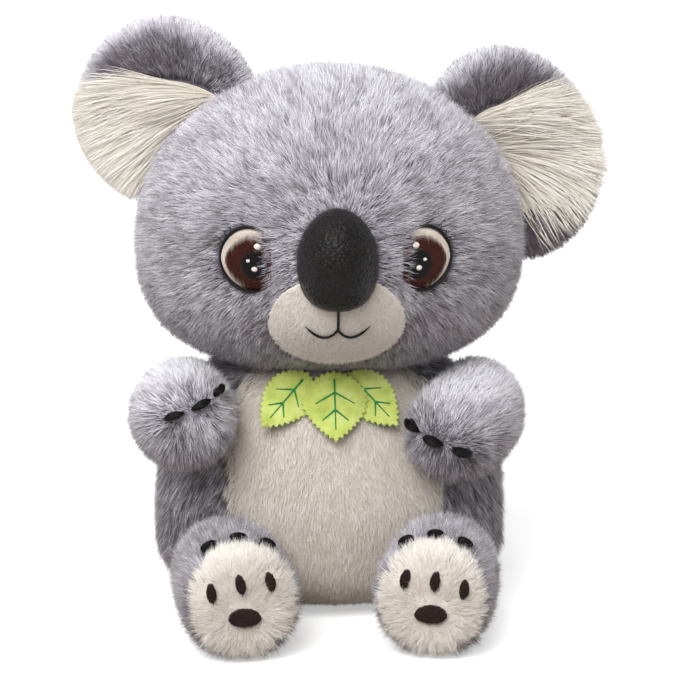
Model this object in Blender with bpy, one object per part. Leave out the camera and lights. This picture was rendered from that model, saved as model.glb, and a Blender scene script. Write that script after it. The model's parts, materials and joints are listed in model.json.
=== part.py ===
"""A seated plush koala with a stuffed head, body, arms, legs and ears.

Units are metres, +Z is up and the toy faces -Y. Left and right are the toy's own, so its left arm
is at +X. The origin is the middle of the flat that the body rests on.
"""

import math
from dataclasses import dataclass, replace

import bmesh
import bpy
from mathutils import Matrix, Vector

# Fits and walls that every stuffed part shares
SEAM_GAP = 0.0003
COVER_WALL = 0.005
FLAT_CUT_DEPTH = 0.0005
CUT_OVERRUN = 0.006
THREAD_RISE = 0.0012
WELD_DISTANCE = 0.00001

# Head, a wide form that is fuller below its widest level
HEAD_LEVEL = 0.165
HEAD_HALF_WIDTH = 0.0885
HEAD_HALF_DEPTH = 0.074
HEAD_RISE = 0.080
HEAD_DROP = 0.058
HEAD_UPPER_POWER = 2.05
HEAD_LOWER_POWER = 2.7
HEAD_TURN_DEGREES = (-15, 15)

# Muzzle, a low swelling of the face with a short-pile panel let into it
MUZZLE_BULGE = 0.009
MUZZLE_BULGE_SPREAD_X = 0.034
MUZZLE_BULGE_SPREAD_Z = 0.030
MUZZLE_BULGE_BELOW_LEVEL = 0.019
MUZZLE_PANEL_HALF_WIDTH = 0.029
MUZZLE_PANEL_HALF_HEIGHT = 0.0210
MUZZLE_PANEL_BELOW_LEVEL = 0.0240
MUZZLE_PANEL_DEPTH = 0.040

# Nose, a leather egg with its wide end down
NOSE_HALF_WIDTH = 0.0172
NOSE_RISE = 0.0225
NOSE_DROP = 0.0215
NOSE_HALF_DEPTH = 0.0195
NOSE_ABOVE_LEVEL = 0.0035
NOSE_SINK = 0.0025
NOSE_WALL = 0.0014
NOSE_UPPER_POWER = 1.9
NOSE_LOWER_POWER = 2.5

# Mouth, three stitched strokes under the nose
MOUTH_LINE_WIDTH = 0.0013
MOUTH_STEM_LENGTH = 0.0085
MOUTH_STEM_TOP_BELOW_LEVEL = 0.0178
MOUTH_HALF_WIDTH = 0.0140
MOUTH_SAG = 0.0040
MOUTH_SAG_POWER_SHARE = 0.8
MOUTH_END_LIFT = 0.0012
MOUTH_POINTS = 7

# Eyes, embroidered rounds whose nose side is covered by the pile
EYE_OUT = 0.037
EYE_ABOVE_LEVEL = 0.0024
EYE_HALF_WIDTH = 0.0127
EYE_HALF_HEIGHT = 0.0135
EYE_INNER_REACH = 0.0062
EYE_OUTLINE_WIDTH = 0.0015
IRIS_HALF_WIDTH = 0.0105
IRIS_HALF_HEIGHT = 0.0115
IRIS_SHIFT_IN = 0.0004
IRIS_SHIFT_DOWN = 0.0013
PUPIL_RADIUS = 0.0060
PUPIL_SHIFT_IN = 0.0011
PUPIL_SHIFT_DOWN = 0.0021
LASH_LENGTH = 0.0028
LASH_ANGLES_DEGREES = (128, 141, 154)
LASH_HALF_ANGLE_DEGREES = 5

# Ears, cupped discs: the right one stands higher than the left
EAR_HALF_THICKNESS = 0.012
EAR_RIM_POWER = 2.6
EAR_DISH_DEPTH = 0.009
EAR_DISH_SPREAD_SHARE = 0.62
EAR_SET_BACK = 0.006
EAR_YAW_DEGREES = 12
EAR_ROOT_RADIUS = 0.0088
EAR_ROOT_BEHIND = 0.0030
EAR_LINING_INSET = 0.0085
EAR_LINING_BACK_DEPTH = 0.0025
EAR_FLOP_DEGREES = (-12, 12)
RIGHT_EAR_ANGLE_DEGREES = 39
RIGHT_EAR_DISTANCE = 0.097
RIGHT_EAR_HALF_SPAN = 0.041
RIGHT_EAR_HALF_REACH = 0.039
LEFT_EAR_ANGLE_DEGREES = 24
LEFT_EAR_DISTANCE = 0.096
LEFT_EAR_HALF_SPAN = 0.045
LEFT_EAR_HALF_REACH = 0.039

# Body, a pear that is cut flat where it sits
BODY_LEVEL = 0.032
BODY_HALF_WIDTH = 0.082
BODY_HALF_DEPTH = 0.064
BODY_RISE = 0.092
BODY_UPPER_POWER = 2.5
BODY_LOWER_POWER = 3.4
NECK_RADIUS = 0.034
NECK_MOUTH_RADIUS = 0.014
NECK_SINK = 0.001

# Belly panel, pale plush let into the front of the body
BELLY_HALF_WIDTH = 0.046
BELLY_HALF_HEIGHT = 0.055
BELLY_ABOVE_LEVEL = 0.031
BELLY_DEPTH = 0.044

# Closing seam on the back, laced with one thread
SEAM_STITCH_COUNT = 15
SEAM_STITCH_PITCH = 0.003
SEAM_STITCH_HALF_WIDTH = 0.0020
SEAM_THREAD_RADIUS = 0.0005
SEAM_START_ABOVE_LEVEL = -0.008

# Arms, from the shoulders to the paws in front of the chest
ARM_ROOT_LEVEL = 0.093
ARM_ROOT_TURN_DEGREES = 16
ARM_ROOT_RADIUS = 0.017
ARM_LENGTH = 0.041
ARM_UPPER_RADIUS = 0.0195
ARM_PAW_RADIUS = 0.0248
ARM_PAW_POWER = 2.2
ARM_BLUNTNESS = 0.95
ARM_MOUTH_RADIUS = 0.007
ARM_SWING_OUT_DEGREES = 30
ARM_SWING_IN_DEGREES = 5
RIGHT_ARM_HEADING_DEGREES = 2
RIGHT_ARM_CLIMB_DEGREES = 2
RIGHT_ARM_BEND = 0.003
LEFT_ARM_HEADING_DEGREES = -16
LEFT_ARM_CLIMB_DEGREES = -8
LEFT_ARM_BEND = 0.008

# Claw stitches on the paws
CLAW_HALF_LENGTH = 0.0046
CLAW_HALF_WIDTH = 0.0020
CLAW_HALF_HEIGHT = 0.0016
CLAW_SPREAD_DEGREES = 32
CLAW_ROW_ROLL_DEGREES = 19
RIGHT_CLAW_OUT_DEGREES = 14.5
RIGHT_CLAW_CLIMB_DEGREES = 23
LEFT_CLAW_OUT_DEGREES = 1.5
LEFT_CLAW_CLIMB_DEGREES = 5

# Legs, from the hips to the soles that face forward
LEG_ROOT_TURN_DEGREES = 52
LEG_ROOT_RADIUS = 0.0195
LEG_LENGTH = 0.054
LEG_THIGH_RADIUS = 0.0245
LEG_FOOT_RADIUS = 0.0255
LEG_FOOT_POWER = 4.5
LEG_FOOT_BLUNTNESS = 0.60
LEG_MOUTH_RADIUS = 0.009
RIGHT_LEG_HEADING_DEGREES = -7
LEFT_LEG_HEADING_DEGREES = -10.5
LEG_SPLAY_OUT_DEGREES = 20
LEG_SPLAY_IN_DEGREES = 8

# Soles, with their toe and pad marks and the claw stitches above the toes
SOLE_RADIUS = 0.0226
SOLE_RIM_DEPTH = 0.0078
TOE_MARK_HALF_WIDTH = 0.0030
TOE_MARK_HALF_HEIGHT = 0.0044
TOE_MARK_OUT = 0.0128
TOE_MARK_SIDE_LIFT = 0.0098
TOE_MARK_MIDDLE_LIFT = 0.0112
PAD_MARK_HALF_WIDTH = 0.0072
PAD_MARK_HALF_HEIGHT = 0.0044
PAD_MARK_DROP = 0.0036
SOLE_ROLL_DEGREES = 8.5
MARK_HALF_THICKNESS = 0.0016
TOE_CLAW_HALF_LENGTH = 0.0042
TOE_CLAW_HALF_WIDTH = 0.0019
TOE_CLAW_HALF_HEIGHT = 0.0016
TOE_CLAW_FAN_DEGREES = 29
TOE_CLAW_FORWARD_SHARE = 0.40

# Felt leaves that hang under the chin, each with pinked edges and stitched veins
LEAF_LENGTH = 0.031
LEAF_HALF_WIDTH = 0.0140
LEAF_THICKNESS = 0.0012
LEAF_PINK_PITCH = 0.0026
LEAF_PINK_DEPTH = 0.0013
LEAF_ROOT_BELOW_LEVEL = 0.0545
LEAF_ROOT_CHEST_GAP = 0.0050
LEAF_TILT_DEGREES = 28
LEAF_LAYER_GAP = 0.0010
LEAF_STEM_RADIUS = 0.0009
LEAF_STEM_DOWN = 0.0030
LEAF_PIVOT_DEPTH = 0.0020
LEAF_WIDEST_POWER_SHARE = 0.75
LEAF_ROUNDNESS_POWER_SHARE = 0.8
SIDE_LEAF_HALF_WIDTH = 0.0105
RIGHT_LEAF_OUT = 0.0120
LEFT_LEAF_OUT = 0.0070
SIDE_LEAF_FAN_DEGREES = 40
VEIN_RADIUS = 0.0004
VEIN_MARGIN_SHARE = 0.12
VEIN_END_SHARE = 0.88
VEIN_BRANCH_START_SHARES = (0.30, 0.52)
VEIN_BRANCH_LENGTH_SHARE = 0.55
VEIN_BRANCH_DROP = 0.0050

# Mesh fineness: segments round a form and rings from pole to pole
LARGE_COUNTS = (20, 12)
LARGE_INNER_COUNTS = (12, 8)
LIMB_COUNTS = (14, 12)
LIMB_INNER_COUNTS = (9, 6)
EAR_COUNTS = (16, 8)
EAR_INNER_COUNTS = (12, 6)
NOSE_COUNTS = (16, 10)
NOSE_INNER_COUNTS = (10, 6)
BALL_COUNTS = (14, 8)
STITCH_COUNTS = (8, 4)
ROUND_SEGMENTS = 24
SMALL_ROUND_SEGMENTS = 8
PANEL_SEGMENTS = 24
SMOOTH_ANGLE_DEGREES = 40
SWEEP_COPIES = 5
PIVOT_DISPLAY_SIZE = 0.010

PARTS_NAME = "plush_koala"
CUTTERS_NAME = "cutters"
SIDES = {"right": -1, "left": 1}


@dataclass(frozen=True)
class Finish:
    """Colour and surface of one material."""

    name: str
    colour: tuple
    roughness: float
    metallic: float = 0.0


GREY_PLUSH = Finish("grey_plush", (0.33, 0.32, 0.39), 0.95)
WHITE_PLUSH = Finish("white_plush", (0.80, 0.77, 0.72), 0.95)
CREAM_PLUSH = Finish("cream_long_plush", (0.78, 0.72, 0.63), 0.95)
WADDING = Finish("polyester_wadding", (0.86, 0.86, 0.84), 1.0)
BLACK_LEATHER = Finish("black_grained_leather", (0.012, 0.011, 0.012), 0.45)
BLACK_THREAD = Finish("black_thread", (0.010, 0.009, 0.010), 0.6)
BROWN_THREAD = Finish("brown_thread", (0.080, 0.022, 0.010), 0.6)
IVORY_THREAD = Finish("ivory_thread", (0.60, 0.52, 0.45), 0.6)
GREY_THREAD = Finish("grey_thread", (0.20, 0.19, 0.22), 0.65)
GREEN_FELT = Finish("green_felt", (0.47, 0.61, 0.08), 0.95)
GREEN_THREAD = Finish("green_thread", (0.09, 0.20, 0.03), 0.65)


# Forms

UP = Vector((0, 0, 1))
FACING_STEP_SHARE = 0.01


@dataclass(frozen=True)
class Rounded:
    """A stuffed form whose upper and lower halves have heights and fullness of their own."""

    centre: Vector
    half_width: float
    half_depth: float
    rise: float
    drop: float
    upper_power: float
    lower_power: float
    bulge: float = 0.0

    def grown(self, by):
        """Return the form with all its surfaces moved out by a distance."""
        return replace(
            self,
            half_width=self.half_width + by,
            half_depth=self.half_depth + by,
            rise=self.rise + by,
            drop=self.drop + by,
        )

    def fullness(self, height):
        """Return the share of the full section that is left at a height over the centre."""
        rise, power = (self.rise, self.upper_power) if height > 0 else (self.drop, self.lower_power)
        share = min(abs(height) / rise, 1)
        return (1 - share**power) ** (1 / power)

    def bulged(self, x, y, z):
        """Return y with the muzzle's swelling added on the front half."""
        if y >= 0 or not self.bulge:
            return y
        across = x / MUZZLE_BULGE_SPREAD_X
        along = (z + MUZZLE_BULGE_BELOW_LEVEL) / MUZZLE_BULGE_SPREAD_Z
        facing = min(-y / self.half_depth, 1)
        return y - self.bulge * facing * math.exp(-(across**2) - along**2)

    def place(self, direction):
        """Return the surface point that a unit sphere's point moves to."""
        around = math.hypot(direction.x, direction.y)
        upper = direction.z > 0
        power = self.upper_power if upper else self.lower_power
        scale = (around**power + abs(direction.z) ** power) ** (-1 / power)
        x = direction.x * scale * self.half_width
        y = direction.y * scale * self.half_depth
        z = direction.z * scale * (self.rise if upper else self.drop)
        return self.centre + Vector((x, self.bulged(x, y, z), z))

    def front(self, x, z):
        """Return the point of the front surface at a world x and z."""
        across = x - self.centre.x
        height = z - self.centre.z
        left = self.fullness(height) ** 2 - (across / self.half_width) ** 2
        y = -self.half_depth * math.sqrt(max(left, 0))
        return Vector((x, self.centre.y + self.bulged(across, y, height), z))

    def back(self, x, z):
        """Return the point of the back surface at a world x and z."""
        across = x - self.centre.x
        left = self.fullness(z - self.centre.z) ** 2 - (across / self.half_width) ** 2
        return Vector((x, self.centre.y + self.half_depth * math.sqrt(max(left, 0)), z))

    def around(self, turn, z):
        """Return the surface point at a height, turned from +X towards the front."""
        share = self.fullness(z - self.centre.z)
        x = math.cos(turn) * self.half_width * share
        y = -math.sin(turn) * self.half_depth * share
        return Vector((self.centre.x + x, self.centre.y + y, z))


@dataclass(frozen=True)
class Limb:
    """A stuffed tube on a bent spine that swells from its root to a rounded tip."""

    root: Vector
    tip: Vector
    bend: Vector
    root_radius: float
    tip_radius: float
    tip_power: float
    bluntness: float

    def grown(self, by):
        """Return the limb with its surface moved out by a distance."""
        return replace(self, root_radius=self.root_radius + by, tip_radius=self.tip_radius + by)

    def spine(self, share):
        """Return the spine's point and its heading at a share of its length."""
        middle = (self.root + self.tip) / 2 + self.bend
        start = self.root.lerp(middle, share)
        end = middle.lerp(self.tip, share)
        return start.lerp(end, share), (end - start).normalized()

    def place(self, direction):
        """Return the surface point that a unit sphere's point moves to, its pole at the tip."""
        around = math.hypot(direction.x, direction.y)
        power = self.tip_power if direction.z > 0 else 2
        scale = (around**power + abs(direction.z) ** power) ** (-1 / power)
        along = direction.z * scale
        share = (1 + (along * (2 - along) if along > 0 else along)) / 2
        point, heading = self.spine(share)
        side = UP.cross(heading).normalized()
        above = heading.cross(side)
        radius = self.root_radius + (self.tip_radius - self.root_radius) * share
        reach = along * (self.bluntness if along > 0 else 1)
        offset = (side * direction.x + above * direction.y) * scale + heading * reach
        return point + offset * radius

    def seat(self, direction):
        """Return the surface point that a direction moves to, and the way the surface faces."""
        way = direction.normalized()
        beside = way.orthogonal().normalized() * FACING_STEP_SHARE
        above = way.cross(beside)
        place = self.place(way)
        facing = (self.place(way + beside) - place).cross(self.place(way + above) - place)
        return place, facing.normalized()

    def end_direction(self, across, above):
        """Return the direction to the blunt end's point at two distances from its middle."""
        away = math.hypot(across, above) / self.tip_radius
        forward = (1 - away**self.tip_power) ** (1 / self.tip_power)
        return Vector((across / self.tip_radius, above / self.tip_radius, forward))

    def tip_frame(self):
        """Return the tip's point, its heading, and the directions beside and above it."""
        point, heading = self.spine(1)
        side = UP.cross(heading).normalized()
        return point, heading, side, heading.cross(side)


@dataclass(frozen=True)
class Ear:
    """A cupped disc with its own axes: along its span, out along its reach, and to its front."""

    centre: Vector
    span_way: Vector
    reach_way: Vector
    front_way: Vector
    half_span: float
    half_reach: float
    half_thickness: float

    def grown(self, by):
        """Return the ear with its surface moved out by a distance."""
        return replace(
            self,
            half_span=self.half_span + by,
            half_reach=self.half_reach + by,
            half_thickness=self.half_thickness + by,
        )

    def place(self, direction):
        """Return the surface point that a unit sphere's point moves to, its pole at the front."""
        around = math.hypot(direction.x, direction.y)
        power = EAR_RIM_POWER
        scale = (around**power + abs(direction.z) ** power) ** (-1 / power)
        front = direction.z * scale * self.half_thickness
        if direction.z > 0:
            front -= EAR_DISH_DEPTH * math.exp(-((around * scale / EAR_DISH_SPREAD_SHARE) ** 2))
        across = self.span_way * (direction.x * scale * self.half_span)
        out = self.reach_way * (direction.y * scale * self.half_reach)
        return self.centre + across + out + self.front_way * front

    def frame(self):
        """Return the matrix from the ear's own axes to the world."""
        turn = Matrix((self.span_way, self.reach_way, self.front_way)).transposed()
        return Matrix.Translation(self.centre) @ turn.to_4x4()


# Scene and objects


def clear_scene():
    """Remove what the scene holds."""
    for found in list(bpy.data.objects):
        bpy.data.objects.remove(found, do_unlink=True)
    for found in list(bpy.data.collections):
        bpy.data.collections.remove(found)


def add_collection(name):
    """Add a collection to the scene."""
    bpy.context.scene.collection.children.link(bpy.data.collections.new(name))


def material_for(finish):
    """Return the material of a finish, made on its first use."""
    found = bpy.data.materials.get(finish.name)
    if found:
        return found
    made = bpy.data.materials.new(finish.name)
    made.use_nodes = True
    shader = made.node_tree.nodes["Principled BSDF"]
    shader.inputs["Base Color"].default_value = (*finish.colour, 1)
    shader.inputs["Roughness"].default_value = finish.roughness
    shader.inputs["Metallic"].default_value = finish.metallic
    return made


def add_part(name, mesh, finish, pivot=None):
    """Put a mesh in the toy's collection as a sub-part, under its pivot where it has one."""
    made = bpy.data.objects.new(name, mesh)
    bpy.data.collections[PARTS_NAME].objects.link(made)
    mesh.materials.clear()
    mesh.materials.append(material_for(finish))
    mesh.shade_smooth()
    mesh.set_sharp_from_angle(angle=math.radians(SMOOTH_ANGLE_DEGREES))
    if pivot:
        made.parent = pivot
        made.matrix_parent_inverse = Matrix.Translation(pivot.location).inverted()
    return made


def add_cutter(name, mesh):
    """Put a mesh in the cutters' collection, drawn as wires and left out of renders."""
    made = bpy.data.objects.new(name, mesh)
    bpy.data.collections[CUTTERS_NAME].objects.link(made)
    made.display_type = "WIRE"
    made.hide_render = True
    return made


def add_pivot(name, place, parent=None):
    """Add an empty on a joint's axis, which carries the pieces that turn there."""
    made = bpy.data.objects.new(name, None)
    made.empty_display_size = PIVOT_DISPLAY_SIZE
    bpy.data.collections[PARTS_NAME].objects.link(made)
    made.location = place
    if parent:
        made.parent = parent
        made.matrix_parent_inverse = Matrix.Translation(parent.location).inverted()
    return made


def combine(part, cutters, operation):
    """Give a part one exact Boolean for each cutter."""
    for cutter in cutters:
        step = part.modifiers.new(f"{operation.lower()} {cutter.name}", "BOOLEAN")
        step.operation = operation
        step.solver = "EXACT"
        step.object = cutter


def cut(part, *cutters):
    """Take cutters away from a part."""
    combine(part, cutters, "DIFFERENCE")


def join(part, *others):
    """Join other solids to a part."""
    combine(part, others, "UNION")


def keep(part, *others):
    """Keep only what a part shares with other solids."""
    combine(part, others, "INTERSECT")


# Meshes


def to_mesh(name, work):
    """Write a bmesh to a new mesh and free it."""
    made = bpy.data.meshes.new(name)
    work.to_mesh(made)
    work.free()
    return made


def form_mesh(name, form, counts):
    """Return a unit sphere whose points are moved onto a form."""
    work = bmesh.new()
    bmesh.ops.create_uvsphere(work, u_segments=counts[0], v_segments=counts[1], radius=1)
    for vertex in work.verts:
        vertex.co = form.place(vertex.co.normalized())
    split_quads(work, work.faces)
    return to_mesh(name, work)


def split_quads(work, faces):
    """Split faces the same way on every form, so that forms one inside another keep their gap."""
    made = bmesh.ops.triangulate(work, faces=list(faces), quad_method="FIXED", ngon_method="BEAUTY")
    return made["faces"]


def shell_mesh(name, outer, inner, outer_counts, inner_counts):
    """Return the wall between two forms, one inside the other."""
    work = bmesh.new()
    for form, counts in ((outer, outer_counts), (inner, inner_counts)):
        made = bmesh.ops.create_uvsphere(work, u_segments=counts[0], v_segments=counts[1], radius=1)
        for vertex in made["verts"]:
            vertex.co = form.place(vertex.co.normalized())
        faces = split_quads(work, {face for vertex in made["verts"] for face in vertex.link_faces})
        if form is inner:
            bmesh.ops.reverse_faces(work, faces=faces)
    return to_mesh(name, work)


def ball_mesh(name, centre, radius):
    """Return a ball."""
    ball = Rounded(centre, radius, radius, radius, radius, 2, 2)
    return form_mesh(name, ball, BALL_COUNTS)


def socket_mesh(name, centre, radius):
    """Return the room in which a ball turns, its flat faces clear of the ball's corners."""
    segments, rings = BALL_COUNTS
    nearest = math.cos(math.pi / segments) * math.cos(math.pi / rings / 2)
    return ball_mesh(name, centre, (radius + SEAM_GAP) / nearest)


def column_mesh(name, segments, rim, low, high, frame):
    """Return a column along its frame's third axis, its outline given by an angle's rim point."""
    work = bmesh.new()
    bmesh.ops.create_cone(work, cap_ends=True, segments=segments, radius1=1, radius2=1, depth=1)
    for vertex in work.verts:
        x, y = rim(math.atan2(vertex.co.y, vertex.co.x))
        vertex.co = frame @ Vector((x, y, high if vertex.co.z > 0 else low))
    return to_mesh(name, work)


def oval(half_width, half_height, centre_x=0.0, centre_y=0.0):
    """Return the rim of an oval."""

    def rim(angle):
        return centre_x + half_width * math.cos(angle), centre_y + half_height * math.sin(angle)

    return rim


def stitch_mesh(name, place, long_way, facing, half_sizes):
    """Return a flat oval pad of stitches at a place, with its long way and the way it faces."""
    across = facing.cross(long_way).normalized()
    level = across.cross(facing).normalized()
    work = bmesh.new()
    segments, rings = STITCH_COUNTS
    bmesh.ops.create_uvsphere(work, u_segments=segments, v_segments=rings, radius=1)
    for vertex in work.verts:
        x, y, z = vertex.co
        offset = level * (x * half_sizes[0]) + across * (y * half_sizes[1])
        vertex.co = place + offset + facing.normalized() * (z * half_sizes[2])
    return to_mesh(name, work)


def thread_mesh(name, runs, radius):
    """Return threads of one thickness, each a tube with closed ends through its run of points."""
    curve = bpy.data.curves.new(name, "CURVE")
    curve.dimensions = "3D"
    curve.bevel_depth = radius
    curve.bevel_resolution = 0
    curve.use_fill_caps = True
    for run in runs:
        spline = curve.splines.new("POLY")
        spline.points.add(len(run) - 1)
        for point, place in zip(spline.points, run):
            point.co = (*place, 1)
    return curve_mesh(name, curve)


def outline_mesh(name, outline, thickness):
    """Return a flat plate with an outline of x and y, its thickness centred on z."""
    curve = bpy.data.curves.new(name, "CURVE")
    curve.dimensions = "2D"
    curve.fill_mode = "BOTH"
    curve.extrude = thickness / 2
    spline = curve.splines.new("POLY")
    spline.points.add(len(outline) - 1)
    for point, place in zip(spline.points, outline):
        point.co = (*place, 0, 1)
    spline.use_cyclic_u = True
    return curve_mesh(name, curve)


def curve_mesh(name, curve):
    """Return a curve's solid as a mesh whose caps are welded to it."""
    holder = bpy.data.objects.new(name, curve)
    bpy.context.scene.collection.objects.link(holder)
    ready = holder.evaluated_get(bpy.context.evaluated_depsgraph_get())
    mesh = bpy.data.meshes.new_from_object(ready)
    bpy.data.objects.remove(holder, do_unlink=True)
    bpy.data.curves.remove(curve)
    work = bmesh.new()
    work.from_mesh(mesh)
    bmesh.ops.remove_doubles(work, verts=work.verts, dist=WELD_DISTANCE)
    bpy.data.meshes.remove(mesh)
    bmesh.ops.recalc_face_normals(work, faces=work.faces)
    return to_mesh(name, work)


def turned(mesh, name, pivot, axis, degrees):
    """Return a copy of a mesh turned about an axis through a pivot."""
    made = mesh.copy()
    made.name = name
    turn = Matrix.Rotation(math.radians(degrees), 4, axis)
    made.transform(Matrix.Translation(pivot) @ turn @ Matrix.Translation(-pivot))
    return made


def sweep_cutters(name, mesh, pivot, axis, degrees):
    """Return cutters that hold a neighbour's form at each angle of a joint, as its child sees it."""
    return [
        add_cutter(f"{name}_{step}", turned(mesh, f"{name}_{step}", pivot, axis, -angle))
        for step, angle in enumerate(degrees)
    ]


def steps_between(low, high, count):
    """Return evenly spaced values from low to high, both included."""
    return [low + (high - low) * step / (count - 1) for step in range(count)]


# Places that several parts share

HEAD = Rounded(
    Vector((0, 0, HEAD_LEVEL)),
    HEAD_HALF_WIDTH,
    HEAD_HALF_DEPTH,
    HEAD_RISE,
    HEAD_DROP,
    HEAD_UPPER_POWER,
    HEAD_LOWER_POWER,
    MUZZLE_BULGE,
)
BODY = Rounded(
    Vector((0, 0, BODY_LEVEL)),
    BODY_HALF_WIDTH,
    BODY_HALF_DEPTH,
    BODY_RISE,
    BODY_LEVEL + FLAT_CUT_DEPTH,
    BODY_UPPER_POWER,
    BODY_LOWER_POWER,
)
NECK = Vector((0, 0, HEAD_LEVEL - HEAD_DROP + NECK_SINK))
FACE_FRAME = Matrix(((1, 0, 0, 0), (0, 0, -1, 0), (0, 1, 0, 0), (0, 0, 0, 1)))


def heading_way(side, heading, climb):
    """Return a forward direction turned out to a side and raised."""
    level = Vector((side * math.sin(heading), -math.cos(heading), 0))
    return level * math.cos(climb) + UP * math.sin(climb)


def arm_form(side_name):
    """Return an arm's form, rooted on the body's side."""
    side = SIDES[side_name]
    right = side_name == "right"
    heading = math.radians(RIGHT_ARM_HEADING_DEGREES if right else LEFT_ARM_HEADING_DEGREES)
    climb = math.radians(RIGHT_ARM_CLIMB_DEGREES if right else LEFT_ARM_CLIMB_DEGREES)
    bend = RIGHT_ARM_BEND if right else LEFT_ARM_BEND
    root = BODY.around(math.radians(ARM_ROOT_TURN_DEGREES), ARM_ROOT_LEVEL)
    root.x *= side
    tip = root + heading_way(side, heading, climb) * ARM_LENGTH
    return Limb(
        root,
        tip,
        Vector((side * bend, 0, 0)),
        ARM_UPPER_RADIUS,
        ARM_PAW_RADIUS,
        ARM_PAW_POWER,
        ARM_BLUNTNESS,
    )


def leg_form(side_name):
    """Return a leg's form, rooted on the body's front and resting on the ground."""
    side = SIDES[side_name]
    level = LEG_FOOT_RADIUS - FLAT_CUT_DEPTH
    root = BODY.around(math.radians(LEG_ROOT_TURN_DEGREES), level)
    root.x *= side
    right = side_name == "right"
    heading = math.radians(RIGHT_LEG_HEADING_DEGREES if right else LEFT_LEG_HEADING_DEGREES)
    tip = root + heading_way(side, heading, 0) * LEG_LENGTH
    return Limb(
        root,
        tip,
        Vector((0, 0, 0)),
        LEG_THIGH_RADIUS,
        LEG_FOOT_RADIUS,
        LEG_FOOT_POWER,
        LEG_FOOT_BLUNTNESS,
    )


def ear_form(side_name):
    """Return an ear's form and the point of the head that its root sits on."""
    side = SIDES[side_name]
    right = side_name == "right"
    angle = math.radians(RIGHT_EAR_ANGLE_DEGREES if right else LEFT_EAR_ANGLE_DEGREES)
    distance = RIGHT_EAR_DISTANCE if right else LEFT_EAR_DISTANCE
    half_span = RIGHT_EAR_HALF_SPAN if right else LEFT_EAR_HALF_SPAN
    half_reach = RIGHT_EAR_HALF_REACH if right else LEFT_EAR_HALF_REACH
    yaw = math.radians(EAR_YAW_DEGREES)
    level = math.cos(angle)
    out = Vector((side * level * math.cos(yaw), level * math.sin(yaw), math.sin(angle)))
    front = Vector((side * math.sin(yaw), -math.cos(yaw), 0))
    flat_out = Vector((side * math.cos(angle), 0, math.sin(angle)))
    share = math.hypot(flat_out.x / HEAD_HALF_WIDTH, flat_out.z / HEAD_RISE)
    back = Vector((0, EAR_SET_BACK, 0))
    surface = HEAD.centre + flat_out / share + back
    root = surface - front * EAR_ROOT_BEHIND
    ear = Ear(
        surface + out * (distance - (flat_out / share).length),
        out.cross(front),
        out,
        front,
        half_span,
        half_reach,
        EAR_HALF_THICKNESS,
    )
    return ear, root


# Head and face


def build_head(pivot):
    """Build the head's cover and filling, with the muzzle panel let into its face."""
    cover = add_part(
        "head_cover",
        shell_mesh("head_cover", HEAD, HEAD.grown(-COVER_WALL), LARGE_COUNTS, LARGE_INNER_COUNTS),
        GREY_PLUSH,
        pivot,
    )
    filling = add_part(
        "head_filling",
        form_mesh("head_filling", HEAD.grown(-COVER_WALL - SEAM_GAP), LARGE_INNER_COUNTS),
        WADDING,
        pivot,
    )
    wall = add_cutter(
        "head_wall",
        shell_mesh("head_wall", HEAD, HEAD.grown(-COVER_WALL), LARGE_COUNTS, LARGE_INNER_COUNTS),
    )
    panel, opening = inset_panel(
        "muzzle_panel",
        WHITE_PLUSH,
        pivot,
        wall,
        oval(MUZZLE_PANEL_HALF_WIDTH, MUZZLE_PANEL_HALF_HEIGHT),
        oval(MUZZLE_PANEL_HALF_WIDTH + SEAM_GAP, MUZZLE_PANEL_HALF_HEIGHT + SEAM_GAP),
        face_frame(0, HEAD_LEVEL - MUZZLE_PANEL_BELOW_LEVEL),
        HEAD_HALF_DEPTH + MUZZLE_BULGE - MUZZLE_PANEL_DEPTH,
        HEAD_HALF_DEPTH + MUZZLE_BULGE + CUT_OVERRUN,
    )
    socket = add_cutter("neck_socket", socket_mesh("neck_socket", NECK, NECK_RADIUS))
    cut(cover, opening, socket)
    cut(filling, socket)
    return cover, filling, panel


def face_frame(x, z):
    """Return a frame whose third axis faces forward at a world x and z, its first along x."""
    return Matrix.Translation((x, 0, z)) @ FACE_FRAME


def inset_panel(name, finish, pivot, wall, rim, wide_rim, frame, low, high):
    """Return a panel cut from a wall by a column, and the wider column that makes room for it."""
    panel = add_part(
        name, column_mesh(name, PANEL_SEGMENTS, rim, low, high, frame), finish, pivot
    )
    keep(panel, wall)
    opening = add_cutter(
        f"{name}_opening",
        column_mesh(
            f"{name}_opening", PANEL_SEGMENTS, wide_rim, low - SEAM_GAP, high + SEAM_GAP, frame
        ),
    )
    return panel, opening


def build_nose(pivot):
    """Build the leather nose, open at its back, and the wadding inside it."""
    seat = HEAD.front(0, HEAD_LEVEL + NOSE_ABOVE_LEVEL)
    form = Rounded(
        seat + Vector((0, NOSE_SINK, 0)),
        NOSE_HALF_WIDTH,
        NOSE_HALF_DEPTH,
        NOSE_RISE,
        NOSE_DROP,
        NOSE_UPPER_POWER,
        NOSE_LOWER_POWER,
    )
    face = add_cutter("nose_seat", form_mesh("nose_seat", HEAD.grown(SEAM_GAP), LARGE_COUNTS))
    cover = add_part(
        "nose_cover",
        shell_mesh("nose_cover", form, form.grown(-NOSE_WALL), NOSE_COUNTS, NOSE_INNER_COUNTS),
        BLACK_LEATHER,
        pivot,
    )
    filling = add_part(
        "nose_filling",
        form_mesh("nose_filling", form.grown(-NOSE_WALL - SEAM_GAP), NOSE_INNER_COUNTS),
        WADDING,
        pivot,
    )
    cut(cover, face)
    cut(filling, face)


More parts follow.
